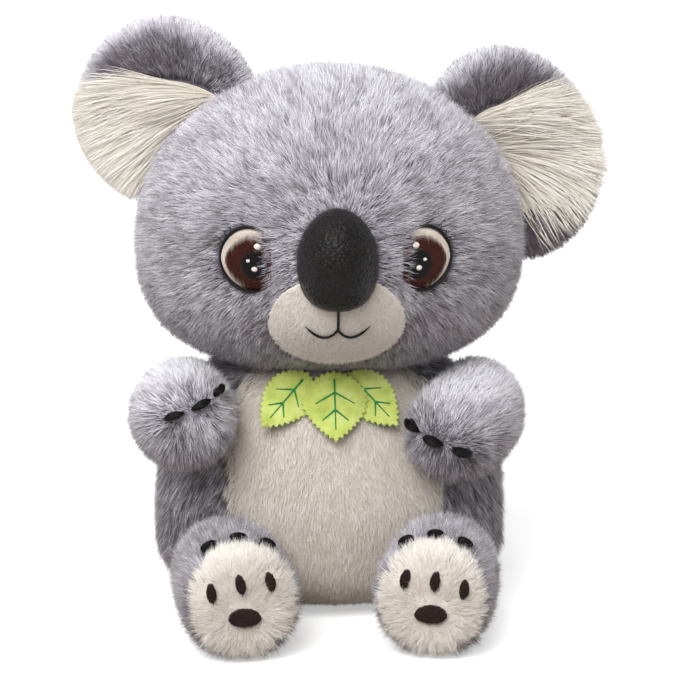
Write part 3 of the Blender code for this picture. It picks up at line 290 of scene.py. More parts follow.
@dataclass(frozen=True)
class EarForm:
    """A cupped disc with its own axes: along its span, out along its reach, and to its front."""

    centre: np.ndarray
    span_way: np.ndarray
    reach_way: np.ndarray
    front_way: np.ndarray
    half_span: float
    half_reach: float
    half_thickness: float
    rim_power: float = 2.6
    dish_depth: float = 0.009
    dish_spread_share: float = 0.62

    def grown(self, by: float) -> "EarForm":
        """Return the ear with its surface moved out by a distance."""
        return replace(
            self,
            half_span=self.half_span + by,
            half_reach=self.half_reach + by,
            half_thickness=self.half_thickness + by,
        )

    def place(self, directions: np.ndarray) -> np.ndarray:
        """Return the surface points that a unit sphere's points move to, its pole at the front."""
        around = np.hypot(directions[:, 0], directions[:, 1])
        power = self.rim_power
        scale = (around**power + np.abs(directions[:, 2]) ** power) ** (-1 / power)
        front = directions[:, 2] * scale * self.half_thickness
        dish = self.dish_depth * np.exp(-((around * scale / self.dish_spread_share) ** 2))
        front = front - np.where(directions[:, 2] > 0, dish, 0)
        across = self.span_way * (directions[:, 0] * scale * self.half_span)[:, None]
        out = self.reach_way * (directions[:, 1] * scale * self.half_reach)[:, None]
        return self.centre + across + out + self.front_way * front[:, None]

    def local(self, points: np.ndarray) -> np.ndarray:
        """Return points in the ear's own axes."""
        return (points - self.centre) @ np.stack((self.span_way, self.reach_way, self.front_way), 1)


Form = Rounded | Limb | EarForm


# Surfaces and meshes


@dataclass
class Skin:
    """A closed surface of triangles with its points' normals."""

    points: np.ndarray
    triangles: np.ndarray
    normals: np.ndarray = field(init=False)

    def __post_init__(self) -> None:
        """Work out the normals."""
        corners = self.points[self.triangles]
        faces = np.cross(corners[:, 1] - corners[:, 0], corners[:, 2] - corners[:, 0])
        sums = np.zeros_like(self.points)
        for corner in range(3):
            np.add.at(sums, self.triangles[:, corner], faces)
        self.normals = unit(sums)

    @classmethod
    def of(cls, form: Form, depth: float, fineness: int = 5) -> "Skin":
        """Return the skin that lies a depth under a form's surface, kept over the ground."""
        work = bmesh.new()
        bmesh.ops.create_icosphere(work, subdivisions=fineness, radius=1)
        directions = unit(np.array([vertex.co[:] for vertex in work.verts]))
        triangles = np.array([[vertex.index for vertex in face.verts] for face in work.faces])
        work.free()
        points = form.grown(-depth).place(directions)
        points[:, 2] = np.maximum(points[:, 2], GROUND_CLEARANCE)
        return cls(points, triangles)

    def scatter(self, count: int, rng: np.random.Generator) -> tuple[np.ndarray, np.ndarray]:
        """Spread points evenly over the surface.

        Args:
            count: how many points to spread.
            rng: the random numbers to draw from.

        Returns:
            The points and the surface's normals there.
        """
        corners = self.points[self.triangles]
        faces = np.cross(corners[:, 1] - corners[:, 0], corners[:, 2] - corners[:, 0])
        ends = np.cumsum(np.linalg.norm(faces, axis=1))
        marks = (np.arange(count) + rng.uniform(size=count)) / count * ends[-1]
        chosen = np.minimum(np.searchsorted(ends, marks), len(ends) - 1)
        first, second = rng.uniform(size=(2, count, 1))
        folded = first + second > 1
        first, second = np.where(folded, 1 - first, first), np.where(folded, 1 - second, second)
        points = corners[chosen]
        facing = self.normals[self.triangles[chosen]]

        def blend(values: np.ndarray) -> np.ndarray:
            """Return the corners' values mixed by the point's place between them."""
            return values[:, 0] * (1 - first - second) + values[:, 1] * first + values[:, 2] * second

        return blend(points), unit(blend(facing))


def add_object(name: str, mesh: bpy.types.Mesh, material: bpy.types.Material) -> bpy.types.Object:
    """Put a mesh in the scene, smooth and with one material."""
    mesh.polygons.foreach_set("use_smooth", np.ones(len(mesh.polygons), bool))
    mesh.materials.append(material)
    made = bpy.data.objects.new(name, mesh)
    bpy.context.scene.collection.objects.link(made)
    log.info("%s: %d faces", name, len(mesh.polygons))
    return made


def mesh_from(name: str, points: np.ndarray, faces: list | np.ndarray) -> bpy.types.Mesh:
    """Return a mesh of points and faces."""
    made = bpy.data.meshes.new(name)
    rows = faces.tolist() if isinstance(faces, np.ndarray) else faces
    made.from_pydata(points.tolist(), [], rows)
    made.update()
    return made


def ring_points(
    turns: int, shares: np.ndarray, half_u: float, half_v: float, upper_power: float = 2.0
) -> tuple[np.ndarray, np.ndarray]:
    """Lay an oval's points out in rings.

    Args:
        turns: how many points each ring has.
        shares: each ring's share of the oval's size.
        half_u: the oval's half width.
        half_v: the oval's half height.
        upper_power: how square its upper half is, where 2 is round.

    Returns:
        The points' distances beside and above the oval's middle.
    """
    angles = np.arange(turns) * (2 * math.pi / turns)
    across, up = np.cos(angles), np.sin(angles)
    power = 2 / np.where(up > 0, upper_power, 2.0)
    u = np.sign(across) * np.abs(across) ** power * half_u * shares[:, None]
    v = np.sign(up) * np.abs(up) ** power * half_v * shares[:, None]
    return u.ravel(), v.ravel()


def ring_walls(turns: int, rings: int) -> tuple[np.ndarray, np.ndarray]:
    """Return the points' numbers in rings, and the faces between each ring and the next."""
    index = np.arange(turns * rings).reshape(rings, turns)
    turned = np.roll(index, -1, axis=1)
    walls = np.stack((index[:-1], turned[:-1], turned[1:], index[1:]), -1)
    return index, walls.reshape(-1, 4)


def ring_faces(turns: int, rings: int) -> list[list[int]]:
    """Return the faces of a closed patch whose points lie in rings from its edge to its middle."""
    index, walls = ring_walls(turns, rings)
    return walls.tolist() + [index[-1].tolist(), index[0, ::-1].tolist()]


def tubes(
    paths: np.ndarray, ups: np.ndarray, widths: np.ndarray, heights: np.ndarray, sides: int = 6
) -> tuple[np.ndarray, list]:
    """Return closed tubes of one number of points each.

    Args:
        paths: the points that each tube follows, as tubes by points by 3.
        ups: the way up across each tube, of the same shape.
        widths: the full width at each point, as tubes by points.
        heights: the full height at each point, as tubes by points.
        sides: how many sides a tube has.

    Returns:
        The tubes' points and their faces.
    """
    count, steps = paths.shape[:2]
    along = unit(np.gradient(paths, axis=1))
    across = unit(np.cross(along, ups))
    above = np.cross(across, along)
    angles = np.arange(sides) * (2 * math.pi / sides)
    ring = across[:, :, None] * (np.cos(angles)[:, None] * widths[:, :, None, None] / 2)
    ring = ring + above[:, :, None] * (np.sin(angles)[:, None] * heights[:, :, None, None] / 2)
    points = (paths[:, :, None] + ring).reshape(-1, 3)
    index = np.arange(count * steps * sides).reshape(count, steps, sides)
    turned = np.roll(index, -1, axis=2)
    walls = np.stack((index[:, :-1], index[:, 1:], turned[:, 1:], turned[:, :-1]), -1).reshape(-1, 4)
    faces = walls.tolist() + index[:, 0].tolist() + index[:, -1, ::-1].tolist()
    return points, faces


def taper(steps: int, end_share: float, power: float = 0.5) -> np.ndarray:
    """Return a profile along a thread that is full in its middle and thin at both ends."""
    share = np.linspace(-1, 1, steps)
    return end_share + (1 - end_share) * (1 - np.abs(share) ** (2 / power))


# Pile


@dataclass(frozen=True)
class Pile:
    """The size and lie of one kind of pile; its angles are in degrees."""

    length: float = 0.0074
    width: float = 0.00033
    lean: float = 63
    spread: float = 15
    tuft_strands: int = 16
    tuft_pull: float = 0.20
    tuft_turn: float = 10
    bow: float = 0.0
    joints: int = 1
    droop: float = 0.0
    depth: float = 0.0025
    length_spread: float = 0.22
    tuft_tone: float = 0.14
    strand_tone: float = 0.25


@dataclass
class Strands:
    """Strands of pile: their paths, widths and tones, and the surface's normals under them."""

    paths: np.ndarray
    sides: np.ndarray
    normals: np.ndarray
    widths: np.ndarray
    tones: np.ndarray

    def chosen(self, keep: np.ndarray) -> "Strands":
        """Return the strands that are kept."""
        return Strands(
            self.paths[keep], self.sides[keep], self.normals[keep], self.widths[keep], self.tones[keep]
        )

    def roots(self) -> np.ndarray:
        """Return the strands' first points."""
        return self.paths[:, 0]


def turn_about(ways: np.ndarray, axes: np.ndarray, angles: np.ndarray) -> np.ndarray:
    """Return directions turned by angles about axes that they stand square to."""
    turn = angles[:, None]
    return ways * np.cos(turn) + np.cross(axes, ways) * np.sin(turn)


def grow(
    roots: np.ndarray,
    normals: np.ndarray,
    combs: np.ndarray,
    pile: Pile,
    seed: int,
    lengths: np.ndarray | float = 1.0,
    tones: np.ndarray | float = 0.5,
) -> Strands:
    """Grow strands of pile that lean the way they are combed and gather in tufts.

    Args:
        roots: where the strands start.
        normals: the surface's normals there.
        combs: the way that the pile is combed there.
        pile: the pile's size and lie.
        seed: the number that its random draws start from.
        lengths: each strand's share of the pile's length.
        tones: each strand's tone before its own variation, from 0 to 1.

    Returns:
        The strands.
    """
    rng = np.random.default_rng(seed)
    count = len(roots)
    tuft_count = max(count // pile.tuft_strands, 1)
    leaders = rng.choice(count, tuft_count, replace=False)
    tree = KDTree(tuft_count)
    for index, leader in enumerate(leaders):
        tree.insert(Vector(roots[leader]), index)
    tree.balance()
    tufts = np.array([tree.find(Vector(root))[1] for root in roots])
    spread = math.radians(pile.spread)
    turns = rng.normal(size=tuft_count)[tufts] * math.radians(pile.tuft_turn)
    turns = turns + rng.normal(size=count) * spread
    leans = rng.normal(size=tuft_count)[tufts] * math.radians(pile.tuft_turn) * 0.35
    leans = math.radians(pile.lean) + leans + rng.normal(size=count) * spread * 0.5
    combed = turn_about(tangent(combs, normals), normals, turns)
    shares = 1 + rng.normal(size=count) * pile.length_spread
    reach = np.clip(shares, 0.45, 1.5) * lengths * pile.length / pile.joints
    paths = np.empty((count, pile.joints + 1, 3))
    paths[:, 0] = roots
    way = normals
    for joint in range(pile.joints):
        share = (joint + 0.5) / pile.joints
        angle = np.clip(leans + math.radians(pile.bow) * share, 0.1, 1.75)[:, None]
        way = normals * np.cos(angle) + combed * np.sin(angle)
        way = unit(way - UP * (pile.droop * share * share))
        paths[:, joint + 1] = paths[:, joint] + way * reach[:, None]
    led = paths[leaders][tufts]
    pull = pile.tuft_pull * (np.arange(pile.joints + 1) / pile.joints) ** 1.4
    paths += (led - paths) * pull[None, :, None]
    paths[:, :, 2] = np.maximum(paths[:, :, 2], GROUND_CLEARANCE)
    course = unit(paths[:, -1] - paths[:, 0])
    sides = turn_about(unit(np.cross(course, normals)), course, rng.normal(size=count) * 0.45)
    own = rng.normal(size=tuft_count)[tufts] * pile.tuft_tone + rng.normal(size=count) * pile.strand_tone
    tones = np.clip(np.broadcast_to(tones, (count,)) + own, 0.02, 0.98)
    widths = pile.width * rng.uniform(0.75, 1.25, count)
    return Strands(paths, sides, normals, widths, tones)


def pile_tones(roots: np.ndarray, normals: np.ndarray, seed: int) -> np.ndarray:
    """Return the grey pile's tones: painted light, lighter where it faces up and darker below, with soft
    patches.
    """
    patches = 0.09 * ripple(roots, 0.018, seed) + 0.07 * ripple(roots, 0.006, seed + 200)
    # Painted light from above: the tone rises with the surface's upward facing.
    return 0.46 + 0.24 * normals[:, 2] + patches


def strand_mesh(name: str, strands: Strands) -> bpy.types.Mesh:
    """Return the ribbons of many strands as one mesh.

    Each strand is a ribbon that narrows to its tip. The layer named OFBake lays every strand side by
    side by tone, and the layer named Strand gives the material its tone and the share from root to tip.
    """
    paths, sides = strands.paths, strands.sides
    count, joints = len(paths), paths.shape[1] - 1
    shares = np.arange(joints) / joints
    half = strands.widths[:, None] * (1 - 0.45 * shares**2) / 2
    points = np.empty((count, 2 * joints + 1, 3))
    points[:, 0:-1:2] = paths[:, :-1] - sides[:, None] * half[:, :, None]
    points[:, 1:-1:2] = paths[:, :-1] + sides[:, None] * half[:, :, None]
    points[:, -1] = paths[:, -1]
    pattern, starts = [], []
    for joint in range(joints - 1):
        starts.append(len(pattern))
        pattern += [2 * joint, 2 * joint + 1, 2 * joint + 3, 2 * joint + 2]
    starts.append(len(pattern))
    pattern += [2 * joints - 2, 2 * joints - 1, 2 * joints]
    order = np.array(pattern)
    corners = (np.arange(count)[:, None] * (2 * joints + 1) + order).ravel()
    loop_starts = (np.arange(count)[:, None] * len(pattern) + np.array(starts)).ravel()
    mesh = bpy.data.meshes.new(name)
    mesh.vertices.add(points.size // 3)
    mesh.vertices.foreach_set("co", points.astype(np.float32).ravel())
    mesh.loops.add(len(corners))
    mesh.loops.foreach_set("vertex_index", corners.astype(np.int32))
    mesh.polygons.add(len(loop_starts))
    mesh.polygons.foreach_set("loop_start", loop_starts.astype(np.int32))
    mesh.polygons.foreach_set("use_smooth", np.ones(len(loop_starts), bool))
    mesh.update(calc_edges=True)
    along = np.append(np.repeat(shares, 2), 1.0)
    beside = np.append(np.tile((-1.0, 1.0), joints), 0.0)
    tones = strands.tones.copy()
    tones[:2] = (0.02, 0.98)[: len(tones)]
    for layer, half_width in (("OFBake", 0.012), ("Strand", 0.0)):
        u = tones[:, None] + beside[order] * half_width
        v = np.broadcast_to(along[order], u.shape)
        data = mesh.uv_layers.new(name=layer).data
        data.foreach_set("uv", np.stack((u, v), -1).astype(np.float32).ravel())
    course = unit(paths[:, 1] - paths[:, 0])
    facing = unit(strands.normals * 0.62 + unit(np.cross(sides, course)) * 0.38)
    mesh.normals_split_custom_set_from_vertices(np.repeat(facing, 2 * joints + 1, axis=0))
    return mesh


# Materials


def linear(code: str) -> tuple[float, float, float, float]:
    """Return an sRGB hex colour as linear values with full alpha."""
    shares = [int(code[start : start + 2], 16) / 255 for start in (1, 3, 5)]
    values = [s / 12.92 if s <= 0.04045 else ((s + 0.055) / 1.055) ** 2.4 for s in shares]
    return (*values, 1.0)


def add_node(
    tree: bpy.types.NodeTree, kind: str, settings: dict, links: dict | None = None
) -> bpy.types.Node:
    """Add a shader node with its settings and the links into it.

    Args:
        tree: the node tree it goes in.
        kind: the node's type without its ShaderNode prefix.
        settings: its properties and input values by name.
        links: the sockets that feed its inputs, by input name.

    Returns:
        The node.
    """
    node = tree.nodes.new(f"ShaderNode{kind}")
    for name, value in settings.items():
        if isinstance(name, str) and hasattr(node, name):
            setattr(node, name, value)
        else:
            node.inputs[name].default_value = value
    for name, socket in (links or {}).items():
        tree.links.new(socket, node.inputs[name])
    return node


def ramp(
    tree: bpy.types.NodeTree, factor: bpy.types.NodeSocket, stops: dict[float, str]
) -> bpy.types.NodeSocket:
    """Return the colour socket of a ramp through hex colours at shares."""
    node = add_node(tree, "ValToRGB", {}, {"Fac": factor})
    bar = node.color_ramp.elements
    while len(bar) < len(stops):
        bar.new(0.5)
    for element, (share, code) in zip(bar, stops.items()):
        element.position = share
        element.color = linear(code)
    return node.outputs["Color"]


def seen_directly(tree: bpy.types.NodeTree) -> bpy.types.NodeSocket:
    """Return the socket that is 1 for camera, glossy and transmission rays, and 0 for the light's own."""
    path = add_node(tree, "LightPath", {})
    share = path.outputs["Is Camera Ray"]
    for kind in ("Is Glossy Ray", "Is Transmission Ray"):
        ends = {0: share, 1: path.outputs[kind]}
        share = add_node(tree, "Math", {"operation": "MAXIMUM"}, ends).outputs[0]
    return share


def grained(
    tree: bpy.types.NodeTree,
    shades: dict[float, str],
    cloud: dict,
    grain: tuple[str, dict, str],
    bump: dict,
    surface: dict,
) -> bpy.types.Node:
    """Return a shader of cloudy shades over the fine bump of its fibres.

    Args:
        tree: the node tree it goes in.
        shades: hex colours at shares of the cloud.
        cloud: the settings of the noise that spreads the shades.
        grain: the bump's texture, its settings and the output that the bump follows.
        bump: the bump's settings.
        surface: the shader's own settings.

    Returns:
        The shader node.
    """
    place = {"Vector": add_node(tree, "TexCoord", {}).outputs["Object"]}
    colour = ramp(tree, add_node(tree, "TexNoise", cloud, place).outputs["Fac"], shades)
    kind, settings, output = grain
    texture = add_node(tree, kind, settings, place)
    relief = add_node(tree, "Bump", bump, {"Height": texture.outputs[output]})
    return add_node(
        tree, "BsdfPrincipled", surface, {"Base Color": colour, "Normal": relief.outputs["Normal"]}
    )


@dataclass(frozen=True)
class Finish:
    """A material with a Principled shader at its end."""

    name: str

    def material(self) -> bpy.types.Material:
        """Return the finish's material, made on its first use."""
        found = bpy.data.materials.get(self.name)
        if found:
            return found
        made = bpy.data.materials.new(self.name)
        made.use_nodes = True
        tree = made.node_tree
        tree.nodes.clear()
        shader = self.shader(tree)
        add_node(tree, "OutputMaterial", {}, {"Surface": shader.outputs[0]})
        return made

    def shader(self, tree: bpy.types.NodeTree) -> bpy.types.Node:
        """Return the finish's shader node."""
        raise NotImplementedError


@dataclass(frozen=True)
class PileFibre(Finish):
    """Acrylic plush fibre, drawn and brushed up: matt strands, frosted at the tip and dark at the root,
    the root's dark partly painted shade between the strands.
    """

    roots: tuple[str, str, str]
    tips: tuple[str, str, str]
    roughness: float = 0.75
    sheen: float = 0.25

    def shader(self, tree: bpy.types.NodeTree) -> bpy.types.Node:
        """Return a shader whose colour goes from root to tip and varies by strand."""
        layer = add_node(tree, "UVMap", {"uv_map": "Strand"})
        split = add_node(tree, "SeparateXYZ", {}, {"Vector": layer.outputs["UV"]})
        tone, along = split.outputs["X"], split.outputs["Y"]
        shares = (0.08, 0.5, 0.92)
        # The roots' darker colours are partly the fibre's own and partly painted shade between the
        # strands.
        low = ramp(tree, tone, dict(zip(shares, self.roots)))
        high = ramp(tree, tone, dict(zip(shares, self.tips)))
        rise = add_node(
            tree,
            "MapRange",
            {"interpolation_type": "SMOOTHSTEP", "From Min": 0.05, "From Max": 0.85},
            {"Value": along},
        )
        colour = add_node(
            tree, "Mix", {"data_type": "RGBA"}, {0: rise.outputs["Result"], 6: low, 7: high}
        )
        return add_node(
            tree,
            "BsdfPrincipled",
            {
                "Roughness": self.roughness,
                "Specular IOR Level": 0.25,
                "Sheen Weight": self.sheen,
                "Sheen Roughness": 0.5,
            },
            {"Base Color": colour.outputs[2]},
        )


@dataclass(frozen=True)
class PlushBacking(Finish):
    """Knitted plush backing: a matt ground cloth that shows dark between the strands."""

    colour: str
    dark: str
    knit_mm: float = 1.2

    def shader(self, tree: bpy.types.NodeTree) -> bpy.types.Node:
        """Return a shader of mottled cloth with a fine knit bump."""
        return grained(
            tree,
            {0.3: self.dark, 0.7: self.colour},
            {"Scale": 1 / (6 * MM), "Detail": 4.0},
            ("TexVoronoi", {"Scale": 1 / (self.knit_mm * MM), "Randomness": 0.6}, "Distance"),
            {"Strength": 0.6, "Distance": 0.3 * MM, "invert": True},
            {"Roughness": 0.95, "Specular IOR Level": 0.1, "Sheen Weight": 0.2},
        )


@dataclass(frozen=True)
class EmbroideryThread(Finish):
    """Viscose embroidery thread, twisted and lightly glossy: soft streaks of light along each stitch."""

    colour: str
    dark: str
    roughness: float = 0.42

    def shader(self, tree: bpy.types.NodeTree) -> bpy.types.Node:
        """Return a shader with a shade for each stitch and a fine twist bump."""
        return grained(
            tree,
            {0.3: self.dark, 0.7: self.colour},
            {"Scale": 1 / (1.1 * MM), "Detail": 2.0},
            ("TexNoise", {"Scale": 1 / (0.25 * MM), "Detail": 2.0}, "Fac"),
            {"Strength": 0.35, "Distance": 0.08 * MM},
            {"Roughness": self.roughness, "Specular IOR Level": 0.14},
        )


@dataclass(frozen=True)
class GrainedLeather(Finish):
    """Embossed imitation leather: a black skin of fine pebbles with a soft wide sheen."""

    colour: str
    crease: str
    pebble_mm: float = 1.3

    def shader(self, tree: bpy.types.NodeTree) -> bpy.types.Node:
        """Return a shader of pebbles with painted shade in the creases between them."""
        place = {"Vector": add_node(tree, "TexCoord", {}).outputs["Object"]}
        pebbles = {"Scale": 1 / (self.pebble_mm * MM), "Randomness": 0.9, "feature": "SMOOTH_F1"}
        pebble = add_node(tree, "TexVoronoi", pebbles, place)
        wear = add_node(tree, "TexNoise", {"Scale": 1 / (5 * MM), "Detail": 5.0}, place)
        # Painted shade: the creases between the pebbles are darker.
        colour = ramp(tree, pebble.outputs["Distance"], {0.25: self.colour, 0.7: self.crease})
        shares = {"From Min": 0.3, "From Max": 0.7, "To Min": 0.30, "To Max": 0.42}
        rough = add_node(tree, "MapRange", shares, {"Value": wear.outputs["Fac"]})
        depth = {"Strength": 1.0, "Distance": 0.65 * MM, "invert": True}
        bump = add_node(tree, "Bump", depth, {"Height": pebble.outputs["Distance"]})
        links = {
            "Base Color": colour, "Roughness": rough.outputs["Result"], "Normal": bump.outputs["Normal"]
        }
        return add_node(tree, "BsdfPrincipled", {"Specular IOR Level": 0.13}, links)


@dataclass(frozen=True)
class WoolFelt(Finish):
    """Pressed felt, dyed in the piece: a matt face of matted fibres with cloudy shades."""

    colour: str
    light: str
    dark: str
    fibre_mm: float = 0.5

    def shader(self, tree: bpy.types.NodeTree) -> bpy.types.Node:
        """Return a shader of cloudy colour with a fibre bump."""
        fibres = {"Scale": 1 / (self.fibre_mm * MM), "Detail": 6.0, "Roughness": 0.7, "Distortion": 1.2}
        return grained(
            tree,
            {0.3: self.dark, 0.5: self.colour, 0.72: self.light},
            {"Scale": 1 / (7 * MM), "Detail": 5.0},
            ("TexNoise", fibres, "Fac"),
            {"Strength": 0.6, "Distance": 0.18 * MM},
            {"Roughness": 0.9, "Specular IOR Level": 0.15, "Sheen Weight": 0.35, "Sheen Roughness": 0.6},
        )


@dataclass(frozen=True)
class StudioFloor(Finish):
    """Seamless paper sweep: a plain white ground that keeps the toy's soft shadow."""

    colour: str
    bounce: str
    glow: float

    def shader(self, tree: bpy.types.NodeTree) -> bpy.types.Node:
        """Return a shader that is whiter towards the camera and in reflections than as a light."""
        seen = seen_directly(tree)
        glow = add_node(tree, "Math", {"operation": "MULTIPLY", 1: self.glow}, {0: seen})
        ends = {6: linear(self.bounce), 7: linear(self.colour), "data_type": "RGBA"}
        colour = add_node(tree, "Mix", ends, {0: seen})
        return add_node(
            tree,
            "BsdfPrincipled",
            {"Roughness": 1.0, "Specular IOR Level": 0.0, "Emission Color": linear("#FFFFFF")},
            {"Base Color": colour.outputs[2], "Emission Strength": glow.outputs[0]},
        )


GREY_PILE = PileFibre(
    "acrylic_plush_grey_brushed",
    roots=("#3B3639", "#56525D", "#858291"),
    tips=("#8E8588", "#C8C5D1", "#FBFAFE"),
)
EAR_PILE = PileFibre(
    "acrylic_plush_ear_grey_brushed",
    roots=("#39343A", "#5A5661", "#9A97A5"),
    tips=("#80777E", "#BFBCC8", "#FAF9FD"),
)
WHITE_PILE = PileFibre(
    "acrylic_plush_white_sheared",
    roots=("#C9BEB3", "#D6CCC2", "#E2DAD1"),
    tips=("#E2DAD0", "#EDE7E0", "#F8F5F0"),
)
# Painted light: a lighter copy of the white pile, to lift the muzzle where it faces down.
LIT_MUZZLE_PILE = PileFibre(
    "acrylic_plush_white_muzzle_sheared",
    roots=("#D6CBBF", "#E1D7CC", "#EBE3D9"),
    tips=("#EDE6DC", "#F6F0E9", "#FEFCF9"),
)
# Painted shade: a darker copy of the white pile, for the shade that the head and leaves cast on the belly.
SHADED_BELLY_PILE = PileFibre(
    "acrylic_plush_white_belly_sheared",
    roots=("#C6BBAF", "#D4CAC0", "#E0D8CF"),
    tips=("#DBD1C7", "#E8E0D7", "#F3EEE7"),
)
CREAM_PILE = PileFibre(
    "acrylic_plush_cream_long",
    roots=("#DDD4C6", "#E9E2D6", "#F3EEE5"),
    tips=("#EAE3D6", "#F6F2E9", "#FFFDF8"),
)
GREY_BACKING = PlushBacking("polyester_knit_backing_grey", "#7E7A87", "#65616C")
WHITE_BACKING = PlushBacking("polyester_knit_backing_white", "#E9E2D9", "#DCD3C9")
CREAM_BACKING = PlushBacking("polyester_knit_backing_cream", "#EDE6DA", "#DED6C8")
BLACK_THREAD = EmbroideryThread("viscose_thread_black_twisted", "#141112", "#080707")
BROWN_THREAD = EmbroideryThread("viscose_thread_brown_twisted", "#431A10", "#2A0E08")
MARK_THREAD = EmbroideryThread("viscose_thread_umber_twisted", "#2C1C18", "#170E0C", 0.55)
IVORY_THREAD = EmbroideryThread("viscose_thread_ivory_twisted", "#DCD2C8", "#C6BBB0", 0.5)
WHITE_THREAD = EmbroideryThread("viscose_thread_white_twisted", "#F4F1EC", "#DDD6CD", 0.45)
GREY_THREAD = EmbroideryThread("polyester_thread_grey_twisted", "#8A8692", "#67636E", 0.55)
GREEN_THREAD = EmbroideryThread("viscose_thread_green_twisted", "#2F9350", "#1D6E3C", 0.5)
NOSE_LEATHER = GrainedLeather("polyurethane_leather_black_embossed", "#1B1918", "#0B0A0A")
LEAF_FELT = WoolFelt("wool_felt_green_pressed", "#BCCB66", "#CDD783", "#A7B855")


# Pieces


def dress(made: bpy.types.Object, body: str, slot: str, *nodes: str) -> bpy.types.Object:
    """Let a piece ride on a body and stand for nodes."""
    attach(made, body)
    if nodes:
        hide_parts(*nodes)
    return made


def add_cloth(
    name: str,
    points: np.ndarray,
    faces: list | np.ndarray,
    finish: Finish,
    body: str,
    slot: str,
    *nodes: str,
    fill: float = PADDED_FILL,
) -> bpy.types.Object:
    """Add a stuffed piece's cloth, which stands for its covers and filling.

    Args:
        name: the piece's name.
        points: the cloth's points.
        faces: the cloth's faces.
        finish: what the cloth is made of.
        body: the body it rides on.
        slot: the finish slot's name; not used.
        nodes: the nodes it stands for.
        fill: how full it is stuffed; not used.

    Returns:
        The piece.
    """
    made = add_object(name, mesh_from(name, points, faces), finish.material())
    dress(made, body, slot, *nodes)
    return made


def add_skin(name: str, form: Form, depth: float, body: str, *nodes: str) -> Skin:
    """Add a stuffed form's grey cloth and return its skin, which the pile is rooted in."""
    skin = Skin.of(form, depth)
    add_cloth(name, skin.points, skin.triangles, GREY_BACKING, body, "grey_plush", *nodes)
    return skin


def add_pile(name: str, strands: Strands, finish: Finish, body: str, slot: str) -> bpy.types.Object:
    """Add the pile that stands on a stuffed piece's cloth."""
    return dress(add_object(name, strand_mesh(name, strands), finish.material()), body, slot)


class SurfaceSpot:
    """A place on a stuffed form. Its at method gives points beside and above it, and over the surface."""

    def middle(self) -> np.ndarray:
        """Return the spot's own point on the surface."""
        return self.at(*np.zeros((3, 1)))[0]

    def up(self) -> np.ndarray:
        """Return the way that the surface faces at the spot."""
        ends = self.at(np.zeros(2), np.zeros(2), np.array((0.0, 1.0)))
        return unit(ends[1] - ends[0])


@dataclass(frozen=True)
class Spot(SurfaceSpot):
    """A place on a limb, with axes along and across its stitches' long way."""

    form: Limb
    direction: np.ndarray
    long_way: np.ndarray
    reach: float = 0.02
    heart_share: float = 0.6

    def at(self, u: np.ndarray, v: np.ndarray, height: np.ndarray) -> np.ndarray:
        """Return points at distances along and across the long way, and over the surface.

        Args:
            u: the distances along the long way.
            v: the distances across it.
            height: the heights over the surface.

        Returns:
            The points.
        """
        way = unit(self.direction)
        first = unit(np.cross(way, UP + FORWARD * 0.1))
        second = np.cross(way, first)
        origin = self.form.place(way[None])[0]
        tilted = [unit(way + axis * self.reach)[None] for axis in (first, second)]
        steps = np.stack([self.form.place(direction)[0] - origin for direction in tilted])
        facing = unit(np.cross(steps[0], steps[1]))
        heart = self.form.spine(np.array([self.heart_share]))[0][0]
        facing = facing * np.sign(dot(facing, origin - heart))
        across = unit(np.cross(facing, self.long_way))
        along = np.cross(across, facing)
        wanted = along * u[:, None] + across * v[:, None]
        shares = np.linalg.lstsq(steps.T / self.reach, wanted.T, rcond=None)[0].T
        places = self.form.place(unit(way + first * shares[:, :1] + second * shares[:, 1:]))
        return places + facing * height[:, None]


@dataclass(frozen=True)
class FaceSpot(SurfaceSpot):
    """A place on the front of the head or the body, with axes along world X and Z."""

    form: Rounded
    x: float
    z: float
    step: float = 0.0005

    def at(self, u: np.ndarray, v: np.ndarray, height: np.ndarray) -> np.ndarray:
        """Return points at distances beside and above the spot, and over the surface.

        Args:
            u: the distances along X.
            v: the distances along Z.
            height: the heights over the surface.

        Returns:
            The points.
        """
        x, z = self.x + u, self.z + v
        place = self.form.front(x, z)
        beside = self.form.front(x + self.step, z) - place
        above = self.form.front(x, z + self.step) - place
        return place + unit(np.cross(beside, above)) * height[:, None]


def cleared(roots: np.ndarray, spots: list, least: float, near: float, far: float) -> np.ndarray:
    """Return the share of its length that pile keeps round stitches.

    Args:
        roots: where the pile's strands start.
        spots: the places of the stitches.
        least: the share that is kept at a spot.
        near: the distance from a spot where the pile starts to lengthen.
        far: the distance where it is whole.

    Returns:
        Each strand's share.
    """
    lengths = np.ones(len(roots))
    for spot in spots:
        away = np.linalg.norm(roots - spot.middle(), axis=1)
        lengths = lengths * (least + (1 - least) * smooth_step(away, near, far))
    return lengths


